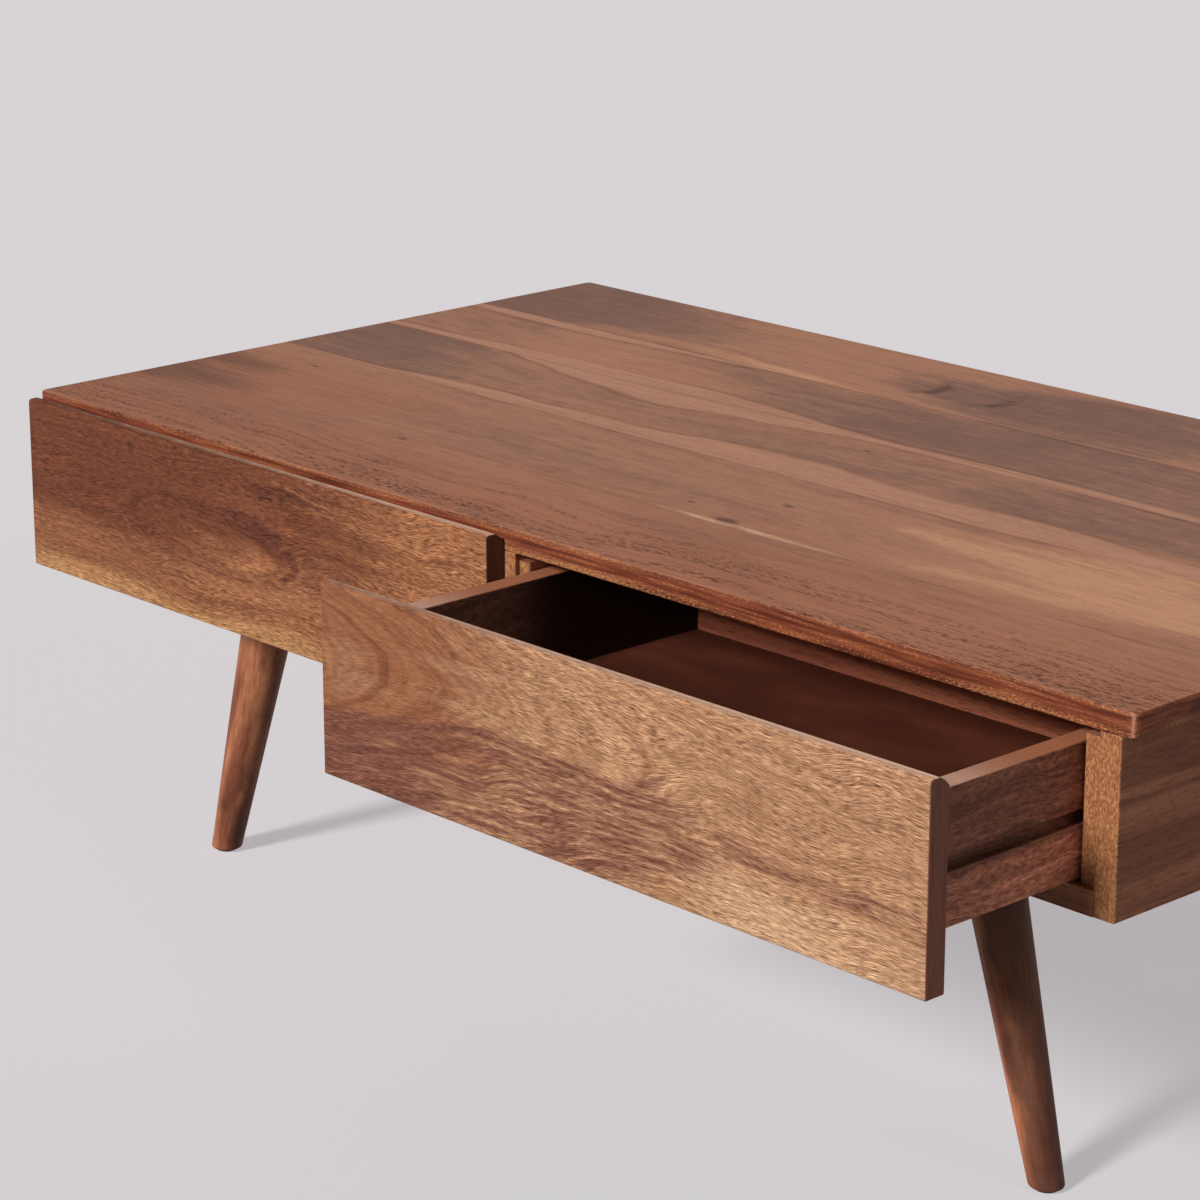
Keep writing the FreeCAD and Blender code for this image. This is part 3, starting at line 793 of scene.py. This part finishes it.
def front_grain(finish, side):
    """The place of a point on a front, and the noises that its marks share.

    fibre is the height pushed aside by sway. lines are the fibres that spread out from the arches' level by
    slant, with a ripple. tongues is the way along, pushed to and fro.
    """
    look = front_looks[side]
    low, high = (corner.tolist() for corner in node_box(f"drawer_{side}_front"))
    x, y, z = finish.place()
    along, across, through = x - low[0], z - low[2], y - low[1]
    sway = finish.swing(along * 7, across * 18, through * 18, 1.0)
    ripple = finish.swing(along * 26, across * 70, through * 70, 1.0)
    fibre = across + sway * 0.030
    ring = ring_field(look["arches"], along, fibre)
    spread = (fibre - look["arches"][0]) * along.least(slant_end) * look["slant"]
    lines = fibre + spread + ripple * 0.0055
    return SimpleNamespace(
        along=along, across=across, through=through, sway=sway, ripple=ripple, fibre=fibre, ring=ring,
        lines=lines, length=high[0] - low[0], height=high[2] - low[2],
        tongues=along + finish.swing(along * 4, fibre * 70, through * 30, 3.0) * 0.25,
        cloud=finish.swing(along * 9, ring * 90, through * 30),
        ragged=finish.swing(along * 22, lines * 210, through * 60, 6.0))


print("middle lines of the stems lie at heights of", [look["arches"][0] for look in front_looks.values()])

# %% [markdown]
# ## Heartwood of the fronts
# The darkest wood is the heart of the stem. One front only grazes it, as an oval line with a thick
# shoulder. On the other it lies open, as a long lobe under a brow. An image would have to be painted for
# these, so each is put together from soft lines and steps, and at every point the strongest counts.

# %% Heartwood of the fronts
eye_line = (0.028, 0.0030, 0.0006)
eye_shoulder = (0.029, 0.0080, 0.0020)
shoulder_along = (0.235, 0.375)
shoulder_above = (0.070, 0.082)
eye_streak = (0.125, 0.0065, 0.0010)
streak_along = (0.28, 0.40)
brow_level = 0.080
brow_start = 0.30
brow_fall = 0.28
brow_line = (0.010, 0.014, 0.002)
lobe_tip = (0.412, 0.045)
bend_above = 22.0
bend_below = 46.0
glow_line = (0.003, 0.014, 0.003)
climb_start = 0.20
climb_level = 0.037
climb_rise = 2.6
climb_line = (0.021, 0.004)
tail_line = (0.0545, 0.015, 0.004)


def eye_marks(finish, grain):
    """Dark heartwood round an oval eye: its thin line, a thick upper right shoulder, a streak above."""
    along, fibre, ring = grain.along, grain.fibre, grain.ring
    line = finish.line(ring, *eye_line) * (finish.step(fibre, 0.050, 0.080) * 0.30 + 0.52)
    upper = finish.swell(along, *shoulder_along) * finish.step(fibre, *shoulder_above)
    shoulder = finish.line(ring, *eye_shoulder) * upper * 1.6
    streak = finish.line(fibre, *eye_streak) * finish.swell(along, *streak_along) * 2.0
    return line.most(shoulder).most(streak)


def lobe_marks(finish, grain):
    """Dark heartwood in a long lobe under a brow, with a streak that climbs at its end and a faint tail.

    The brow falls to the left by the square of the distance, and the climbing streak rises to the right by
    it. The lobe's blunt end bends back by the square of the height from its tip, faster below than above.
    """
    along, fibre = grain.along, grain.fibre
    below = brow_level - (brow_start - along).most(0.0) ** 2 * brow_fall - fibre
    off = fibre - lobe_tip[1]
    end = lobe_tip[0] - off.most(0.0) ** 2 * bend_above - off.least(0.0) ** 2 * bend_below - along
    gap = finish.swell(below, 0.014, 0.042) * finish.step(along, 0.10, 0.18) * 0.08
    glow = finish.line(fibre - (along - 0.10) * 0.30, *glow_line) * finish.swell(along, 0.05, 0.26)
    lobe = finish.step(below, -0.006, 0.008) * finish.step(end, -0.03, 0.05)
    lobe = lobe * (finish.step(along, 0.15, 0.07) * 0.34 + 0.66 - gap - glow * 0.16)
    brow = finish.line(below, *brow_line) * finish.swell(along, -0.20, 0.29)
    path = (along - climb_start).most(0.0) ** 2 * climb_rise + climb_level
    climb = finish.line(fibre, path, *climb_line)
    climb = climb * finish.step(along, 0.10, 0.20) * finish.step(along, 0.385, 0.340)
    climb = climb * finish.step(fibre, 0.104, 0.086) * 0.54
    tail = finish.line(fibre + (along - 0.45) * 0.06, *tail_line) * finish.step(along, 0.34, 0.42)
    return lobe.most(brow).most(climb).most(tail * 0.52)


heart_marks = {"left": eye_marks, "right": lobe_marks}
print("heartwood", {side: marks.__name__ for side, marks in heart_marks.items()})

# %% [markdown]
# ## Colour, growth lines and flecks of the fronts
# Under the heart the colour drifts along the board. Over it lie the growth lines, which end sharply on one
# side as real ones do, and then ever finer marks. A hair is where a noise crosses its middle value, which
# gives thin winding lines that no stretched noise has. End grain and a painted sheen along the rim of the
# top come last.

# %% Colour and growth lines
fleck_shade = (0.33, 0.24, 0.20, 1.0)
fleck_shine = (1.65, 1.72, 1.72, 1.0)
growth_shade = (0.62, 0.48, 0.42, 1.0)


def front_colour(finish, look, grain):
    """Light to deep along the board, less deep low down and in one patch, and gold at the foot."""
    deep = 0.0
    for start, end, share in look["deep_along"]:
        deep = finish.step(grain.tongues, start, end) * share + deep
    start, end, share = look["gold_across"]
    deep = deep * (1 - finish.step(grain.across, start, end) * share)
    centre, size, stretch, share = look["patch"]
    deep = deep - finish.spot(grain.tongues, grain.fibre, centre, size, stretch) * share
    colour = finish.mix(look["light"], look["deep"], finish.step(deep + grain.cloud * 0.5, 0.05, 0.95))
    zone_along, zone_across, zone_fade = look["foot_zone"]
    gold = finish.step(grain.along, *zone_along) * finish.step(grain.fibre, *zone_across)
    gold = gold * (1 - finish.step(grain.tongues, *zone_fade) * 0.8)
    return finish.mix(colour, look["foot"], gold)


def growth_lines(finish, look, grain, colour):
    """Dark lines by the fourth power of the fraction of ring times count, then bands of light and dark."""
    count, shift, fade_end, fade_start, share = look["growth"]
    turns = grain.ring * count + grain.sway * 0.3 + grain.ripple * 0.35 + shift
    growth = turns.fraction() ** 4 * finish.step(grain.ring, fade_end, fade_start)
    growth = growth * finish.step(grain.ragged + grain.cloud, -0.40, 0.15)
    colour = finish.shade(colour, growth_shade, growth * share)
    bands = finish.noise(grain.along * 5, grain.ring * 380 + grain.ripple * 1.5, grain.through * 30, 3.0)
    colour = finish.shade(colour, streak_shade, finish.step(bands, 0.46, 0.64) * 0.55)
    return finish.shade(colour, fleck_shine, finish.step(bands, 0.50, 0.32) * 0.22)


print("growth lines per metre", {side: look["growth"][0] for side, look in front_looks.items()})

# %% Front finishes
# The colour of a painted sheen along the top of each front.
front_rim_sheen = paint(248, 200, 172)
end_depth = (0.8 * mm, 0.1 * mm)
rim_back = (3 * mm, 7 * mm)


def front_flecks(finish, grain, colour, strength):
    """Streaks, hairs, glints and flecks: each pattern steps from low to high and shades by its tint."""
    along, lines, through = grain.along, grain.lines, grain.through
    streaks = finish.noise(along * 18, lines * 420, through * 380, 3.0)
    hairs = abs(finish.swing(along * 34, lines * 430, through * 430))
    glints = abs(finish.swing(along * 34, lines * 430, through * 430 + 7.0))
    flecks = finish.noise(along * 115, lines * 1600, through * 1600)
    colour = streaked(finish, colour, streaks, strength * 0.6)
    for pattern, low, high, tint, share in ((hairs, 0.050, 0.008, fleck_shade, 0.60),
                                            (glints, 0.050, 0.008, fleck_shine, 0.44),
                                            (flecks, 0.50, 0.64, fleck_shade, 0.78),
                                            (flecks, 0.50, 0.36, fleck_shine, 0.78)):
        colour = finish.shade(colour, tint, finish.step(pattern, low, high) * strength * share)
    return colour, streaks, flecks


def front_edges(finish, look, grain, colour):
    """End grain on the end faces, and a painted sheen along the rim at the top that noise spreads more and
    more to the right.
    """
    half = grain.length / 2
    end_face = finish.step(abs(grain.along - half), half - end_depth[0], half - end_depth[1])
    end_grain = finish.noise(grain.through * 420, grain.across * 34, grain.along * 0.5, 3.0)
    colour = finish.mix(colour, look["end"], end_face)
    colour = finish.shade(colour, streak_shade, end_face * finish.step(end_grain, 0.40, 0.66) * 0.7)
    # The pale rim along the top is a painted sheen: a reflection of the pale backdrop, spread by noise.
    rim_left, rim_right, rim_depth = look["rim"]
    sheen_spread = finish.swing(grain.along * 90, grain.through * 300, grain.across * 10, 3.0) * 0.7
    sheen_spread = sheen_spread + grain.along * ((rim_right - rim_left) / grain.length) + rim_left
    rim = finish.step(grain.across, grain.height - rim_depth, grain.height - rim_depth / 5) * (1 - end_face)
    rim = rim * (finish.step(grain.through, *rim_back) * 0.55 + 0.45)
    return finish.mix(colour, front_rim_sheen, rim * finish.step(sheen_spread, 0.0, 1.0))


def front_finish(side):
    """Colour, ragged heart, growth lines, flecks that strengthen along or in the heart, and edges."""
    look = front_looks[side]
    finish = new_finish("figured_front_" + side)
    grain = front_grain(finish, side)
    heart_and_shade = finish.step(heart_marks[side](finish, grain) * (grain.ragged * 3.0 + 1), 0.22, 0.95)
    colour = finish.mix(front_colour(finish, look, grain), look["heart_and_shade"], heart_and_shade)
    colour = growth_lines(finish, look, grain, colour)
    start, end, least = look["fleck"]
    strength = (finish.step(grain.along, start, end) * (1 - least) + least).most(heart_and_shade * 0.8)
    colour, streaks, flecks = front_flecks(finish, grain, colour, strength)
    return lacquer(finish, front_edges(finish, look, grain, colour), streaks, flecks)


for side in front_looks:
    dress("front_board_" + side, front_finish(side))
print("fronts finished", list(front_looks))

# %% [markdown]
# ## Plainer boards
# Ends, back, divider, bottom, packers and runners are the same wood with quieter figure. A finish for each
# board would look no better, so one serves each direction of the grain. End grain is found from the normal,
# because only the faces that look along the fibres show it.

# %% Quiet finishes
board_tan = paint(178, 118, 86)
board_brown = paint(138, 84, 61)
board_pore = paint(92, 54, 40)
end_brown = paint(142, 86, 54)
back_light = paint(196, 118, 86)
back_dark = paint(158, 88, 64)


def quiet_board(name, run, light=board_tan, dark=board_brown):
    """Straight-grained wood whose fibres run along the axis named by run, with speckled end grain."""
    finish = new_finish(name)
    spots = dict(zip("xyz", finish.place()))
    along = spots[run]
    across, through = (spots[letter] for letter in "xyz" if letter != run)
    fibre = across + finish.swing(along * 3, across * 8, through * 8) * 0.03
    streaks, pores = fibre_marks(finish, along, fibre, through)
    bands = finish.noise(along * 1.8, fibre * 70, through * 70, 3.0)
    colour = finish.mix(light, dark, finish.step(bands, 0.35, 0.65))
    colour = streaked(finish, colour, streaks, 0.5)
    colour = finish.mix(colour, board_pore, finish.step(pores, 0.52, 0.70) * 0.5)
    colour = finish.mix(colour, edge_gold, worn(finish) * finish.step(pores, 0.55, 0.40) * 0.5)
    normal = finish.node("NewGeometry", output="Normal")
    facing = abs(finish.node("SeparateXYZ", {0: normal}, run.upper()))
    speckle = finish.noise(spots["x"] * 800, spots["y"] * 800, spots["z"] * 420, 3.0)
    end_tone = finish.mix(end_brown, edge_gold, finish.step(speckle, 0.35, 0.75) * 0.7)
    colour = finish.mix(colour, end_tone, finish.step(facing, 0.80, 0.95))
    return lacquer(finish, colour, streaks, pores)


quiet = {run: quiet_board("quiet_wood_" + run, run) for run in "xy"}
drawer_back = quiet_board("drawer_back_wood", "x", back_light, back_dark)
for side in ("left", "right"):
    dress("end_board_" + side, quiet["y"])
    dress("drawer_back_" + side, drawer_back)
dress("back_board", quiet["x"])
dress("divider_board", quiet["y"])
print("quiet finishes", [finish.name for finish in quiet.values()])

# %% [markdown]
# ## Finish of the drawer sides
# Inside the box the sides get painted shade, deepest towards the back, and the groove gets painted shade
# too;
# the lower lip gets painted bounce light, and the top edges a painted pale sheen near the front. Picking
# out the faces one by one would tie the finish to the mesh, so the groove, the inside and the rim are found
# by their distances instead.

# %% Finish of the drawer sides
side_light = paint(166, 106, 83)
side_dark = paint(112, 66, 51)
painted_bounce_lift = (2.15, 2.15, 2.08, 1.0)
rim_sheen_pale = paint(250, 208, 188)
rim_brown = paint(176, 112, 80)
shade_and_stain_dark = paint(36, 15, 9)
bounce_below_top = (60 * mm, 66 * mm)
rim_below_top = (1.3 * mm, 0.4 * mm)
shade_way = (0.10, 0.19)
sheen_way = (0.12, 0.0)
base_overlap = 4 * mm
groove_soft = 1 * mm
inside_soft = 2 * mm


def drawer_side_finish(side):
    """Brown with a wavy figure; painted shade in the groove and inside the box, deepest towards the back;
    painted bounce light on the lower lip; a painted pale sheen on the top edges near the front.
    """
    finish = new_finish("drawer_side_" + side)
    base_low, base_high = (corner.tolist() for corner in node_box(f"drawer_{side}_base"))
    side_low, side_high = (corner.tolist() for corner in node_box(f"drawer_{side}_inner_side"))
    x, y, z = finish.place()
    back_way = y - side_low[1]
    below_top = side_high[2] - z
    fibre = z + finish.swing(x * 12, back_way * 14, z * 34, 1.0) * 0.024
    streaks, pores = fibre_marks(finish, back_way, fibre, x)
    bands = finish.noise(back_way * 8, fibre * 120, x * 20, 5.0)
    colour = finish.mix(side_light, side_dark, finish.step(bands, 0.24, 0.74))
    grit = finish.noise(back_way * 170, fibre * 620, x * 620, 3.0)
    colour = finish.shade(colour, fleck_shade, finish.step(grit, 0.46, 0.66) * 0.62)
    colour = finish.shade(colour, fleck_shine, finish.step(grit, 0.46, 0.30) * 0.70)
    half = groove_height / 2
    # The dark band along the groove is painted shade.
    groove_shade = finish.line(below_top, groove_below_top + half, half + groove_soft, half - groove_soft)
    colour = finish.mix(colour, shade_and_stain_dark, groove_shade * 0.5)
    # The lower lip is brightened by painted bounce light from the floor.
    colour = finish.shade(colour, painted_bounce_lift, finish.step(below_top, *bounce_below_top))
    # Inside the box the dark colour is painted shade, deepest towards the back; the same dark colour also
    # darkens pores on the base panels.
    half = (base_high[0] - base_low[0]) / 2 - base_overlap
    inside = finish.line(x, (base_low[0] + base_high[0]) / 2, half + inside_soft, half)
    colour = finish.mix(colour, shade_and_stain_dark, inside * (finish.step(back_way, *shade_way) * 0.40 + 0.58))
    rim = finish.step(below_top, *rim_below_top)
    colour = finish.mix(colour, rim_brown, rim)
    # The pale top edge near the front is a painted sheen, a reflection of the pale backdrop.
    colour = finish.mix(colour, rim_sheen_pale, rim * finish.step(back_way, *sheen_way) * 0.75)
    return lacquer(finish, colour, streaks, pores)


for side in ("left", "right"):
    side_finish = drawer_side_finish(side)
    for place in ("inner", "outer"):
        dress(f"drawer_side_{side}_{place}", side_finish)
    print("sides finished with", side_finish.name)

# %% [markdown]
# ## Finish of the legs
# Legs are turned from redder stock, with the fibres along the leg. Upright coordinates would cut across
# them, so the pattern is laid out from each leg's own slanted axis. Each leg is darker towards its foot and
# has
# its own share of painted shade: a dark +x side, largest on the right legs, with the rest tinted redder.

# %% Finish of the legs
leg_light = paint(206, 136, 97)
leg_dark = paint(134, 75, 53)
leg_shade_dark = paint(62, 34, 26)
leg_red = (1.30, 1.02, 1.04, 1.0)
# Head shade, foot shade and redness of each leg: the shades paint shade, most on the right legs.
leg_shades = {"front_left": (0.0, 0.38, 0.0), "front_right": (0.74, 0.84, 0.5),
              "back_left": (0.2, 0.5, 0.3), "back_right": (0.3, 0.6, 0.6)}


def leg_finish(place):
    """Straight grain about the leg's axis, with a painted shade that changes from head to foot.

    The dark side is painted shade: it is where the way across, a sway and the shade add up to more than
    half.
    """
    foot, head = (end.tolist() for end in leg_axes[place])
    head_shade, foot_shade, redness = leg_shades[place]
    finish = new_finish("turned_leg_" + place)
    x, y, z = finish.place()
    share = (z - foot[2]) / (head[2] - foot[2])
    across = x - (share * (head[0] - foot[0]) + foot[0])
    through = y - (share * (head[1] - foot[1]) + foot[1])
    sway = finish.swing(z * 14, across * 34, through * 34 + foot[0] * 9, 3.0)
    fibre = across + sway * 0.008
    streaks, pores = fibre_marks(finish, z + foot[0], fibre, through)
    bands = finish.noise(z * 9 + foot[0] * 7, fibre * 60, through * 60, 4.0)
    colour = finish.mix(leg_light, leg_dark, finish.step(bands, 0.36, 0.66))
    shade = finish.step(share, 0.0, 0.9) * (head_shade - foot_shade) + foot_shade
    # Here the dark part is painted shade down the +x side of the leg, not heartwood.
    heart_and_shade = finish.step(across * 30 + sway * 1.8 + shade, 0.50, 1.00)
    colour = finish.mix(colour, leg_dark, shade * 0.35)
    colour = finish.mix(colour, leg_shade_dark, heart_and_shade * 0.75)
    colour = finish.shade(colour, leg_red, (1 - heart_and_shade) * redness)
    mottle = finish.noise(z * 70, fibre * 220, through * 220, 3.0)
    colour = finish.shade(colour, streak_shade, finish.step(mottle, 0.40, 0.66) * 0.55)
    colour = streaked(finish, colour, streaks, 0.28)
    colour = finish.mix(colour, board_pore, finish.step(pores, 0.55, 0.72) * 0.4)
    return lacquer(finish, colour, streaks, pores, roughness=0.40)


for place in leg_axes:
    dress("turned_leg_" + place, leg_finish(place))
print("legs finished", list(leg_shades))

# %% [markdown]
# ## Base panels and small parts
# The drawer bases are thin panels under a dark stain. Plates, bolts and screws are zinc plated, the dowels
# are bare beech and the pads under the feet are felt. All of these keep their CAD shape, so they only need
# a finish, and a list of parts of names says which node gets which.

# %% Remaining finishes
panel_stain = paint(84, 40, 26)
panel_light = paint(104, 52, 34)
zinc_pale = paint(196, 198, 200)
zinc_dull = paint(150, 152, 156)
felt_brown = paint(92, 72, 58)
felt_pale = paint(122, 100, 84)
beech_pale = paint(214, 182, 142)
beech_brown = paint(190, 150, 110)
fuzz_depth = 0.3 * mm
fuzz_strength = 0.5
dull_gloss = 0.15


def base_panel_finish():
    """Dark stain in soft clouds, a little darker in the pores."""
    finish = new_finish("stained_base_panel")
    x, y, z = finish.place()
    streaks, pores = fibre_marks(finish, x, y, z)
    clouds = finish.noise(x * 9, y * 22, z * 9, 3.0)
    colour = finish.mix(panel_stain, panel_light, finish.step(clouds, 0.40, 0.75))
    colour = finish.mix(colour, shade_and_stain_dark, finish.step(pores, 0.55, 0.72) * 0.2)
    return lacquer(finish, colour, streaks, pores, roughness=0.5)


def zinc_finish():
    """Bright metal whose spangle, one fine noise, turns it dull and rough together."""
    finish = new_finish("zinc_plate")
    x, y, z = finish.place()
    spangle = finish.noise(x * 420, y * 420, z * 420)
    colour = finish.mix(zinc_pale, zinc_dull, finish.step(spangle, 0.35, 0.7))
    return finish.end(finish.node("BsdfPrincipled", {
        "Base Color": colour, "Metallic": 1.0, "Roughness": spangle * 0.3 + 0.22}))


def matted(name, light, dark, pace, roughness):
    """A dull, fuzzy finish: two tones of one fine noise, which also roughens the surface."""
    finish = new_finish(name)
    x, y, z = finish.place()
    fuzz = finish.noise(x * pace, y * pace, z * pace, 4.0)
    colour = finish.mix(light, dark, finish.step(fuzz, 0.35, 0.65))
    dents = finish.node("Bump", {"Strength": fuzz_strength, "Distance": fuzz_depth, "Height": fuzz})
    return finish.end(finish.node("BsdfPrincipled", {
        "Base Color": colour, "Roughness": fuzz * 0.1 + roughness, "Normal": dents,
        "Specular IOR Level": dull_gloss}))


base_panel = base_panel_finish()
zinc = zinc_finish()
felt = matted("pressed_felt", felt_pale, felt_brown, 900, 0.85)
beech = matted("bare_beech", beech_pale, beech_brown, 300, 0.6)
node_finishes = (
    ("bottom_panel", quiet["x"]), ("_packer_", quiet["y"]), ("_screws", zinc), ("runner_", quiet["y"]),
    ("leg_bolts", zinc), ("leg_plate", zinc), ("foot_pads", felt), ("dowels", beech),
    ("_base", base_panel), ("_box_front", drawer_back),
)
for name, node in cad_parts.items():
    for part, material in node_finishes:
        if part in name:
            node.data.materials.clear()
            node.data.materials.append(material)
            break
print("finishes", len(bpy.data.materials))

# %% [markdown]
# ## Floor and light
# A plain pale floor, one broad soft key from the front, a weak fill from the right and a faint grey world.
# The floor is pale to the camera and to reflections, and dimmer to the light that it sends back, so that
# shaded faces stay as deep as in the studio. More lamps would only soften the shadows that show the shape.

# %% Floor and world
floor_far = paint(216, 211, 213)
floor_near = paint(208, 206, 207)
floor_half = 40.0
floor_drop = 0.2 * mm
floor_return = 0.20
shade_kept = 0.62
key_from = Vector((0.03, -0.87, 0.48)).normalized()
key_strength = 3.3
fill_from = Vector((0.92, 0.0, 0.39)).normalized()
fill_strength = 0.42
world_fill = 0.08
backdrop_height = (0.32, 0.14)


def grey(level):
    """An even grey as a colour."""
    return (level, level, level, 1.0)


def ray_kind(finish, *kinds):
    """1 for rays of these kinds, 0 for others."""
    found = 0.0
    for kind in kinds:
        found = finish.node("LightPath", output=f"Is {kind} Ray").most(found)
    return found


def floor_finish():
    """Pale where it is seen: a part glows evenly, the rest takes the key light and the table's shadow."""
    finish = new_finish("studio_floor")
    x, y = finish.place()[:2]
    lamps = (key_strength * key_from.z + fill_strength * fill_from.z) / math.pi
    lit_share = (1 - shade_kept) / (lamps + world_fill)
    pale = finish.mix(floor_far, floor_near, finish.step(x - y, -0.2, 1.0))
    shown = finish.node("BsdfPrincipled", {
        "Base Color": finish.shade(pale, grey(lit_share), 1.0), "Roughness": 1.0, "Specular IOR Level": 0.0,
        "Emission Color": pale, "Emission Strength": shade_kept})
    sent_back = finish.node("BsdfDiffuse", {"Color": grey(floor_return)})
    seen = ray_kind(finish, "Camera", "Glossy", "Transmission")
    return finish.end(finish.node("MixShader", {0: seen, 1: sent_back, 2: shown}))


def studio_world():
    """Pale to the camera and, as a backdrop near the horizon, to reflections; a faint fill to the rest."""
    finish = Finish(bpy.data.worlds.new("studio"))
    outwards = finish.node("TexCoord", output="Generated")
    height = finish.node("SeparateXYZ", {0: outwards}, "Z")
    fill = finish.node("Background", {"Color": grey(1.0), "Strength": world_fill})
    pale = finish.node("Background", {"Color": floor_far, "Strength": 1.0})
    backdrop = ray_kind(finish, "Glossy") * finish.step(height, *backdrop_height)
    seen = ray_kind(finish, "Camera", "Transmission").most(backdrop)
    return finish.end(finish.node("MixShader", {0: seen, 1: fill, 2: pale}), "OutputWorld")


floor_mesh = bpy.data.meshes.new("floor")
floor_corners = rectangle((-floor_half, -floor_half), (floor_half, floor_half))
floor_mesh.from_pydata([(x, y, -floor_drop) for x, y in floor_corners], [], [(0, 1, 2, 3)])
floor_mesh.materials.append(floor_finish())
floor = bpy.data.objects.new("floor", floor_mesh)
bpy.context.scene.collection.objects.link(floor)
bpy.context.scene.world = studio_world()
print("floor", 2 * floor_half, "m wide, under", bpy.context.scene.world.name)

# %% Lamps
key_width = math.radians(11)
fill_width = math.radians(35)


def add_lamp(name, towards, strength, width):
    """A sun lamp that shines from the direction towards, softened by its width."""
    lamp = bpy.data.lights.new(name, "SUN")
    lamp.energy = strength
    lamp.angle = width
    holder = bpy.data.objects.new(name, lamp)
    holder.rotation_euler = towards.to_track_quat("Z", "Y").to_euler()
    bpy.context.scene.collection.objects.link(holder)


add_lamp("key", key_from, key_strength, key_width)
add_lamp("fill", fill_from, fill_strength, fill_width)
print("key light from", [round(c, 2) for c in key_from])

# %% [markdown]
# ## Camera
# The straight edges of the real table fix the lens and the place that it was seen from. The camera could
# track an empty at the table's middle, but an azimuth and a pitch say the same without another object.

# %% Camera
image_side = 1200
focal_pixels = 3848.1
sensor = 36.0
camera_place = (2.06512, -2.07588, 1.18607)
camera_azimuth = math.radians(46.787)
camera_pitch = math.radians(16.819)

lens = bpy.data.cameras.new("camera")
lens.sensor_width = sensor
lens.lens = focal_pixels / image_side * sensor
camera = bpy.data.objects.new("camera", lens)
camera.location = camera_place
forward = Vector((-math.sin(camera_azimuth) * math.cos(camera_pitch),
                  math.cos(camera_azimuth) * math.cos(camera_pitch), -math.sin(camera_pitch)))
camera.rotation_euler = forward.to_track_quat("-Z", "Y").to_euler()
bpy.context.scene.collection.objects.link(camera)
bpy.context.scene.camera = camera
bpy.context.scene.view_settings.view_transform = "Standard"
print("lens", round(lens.lens, 2), "mm")
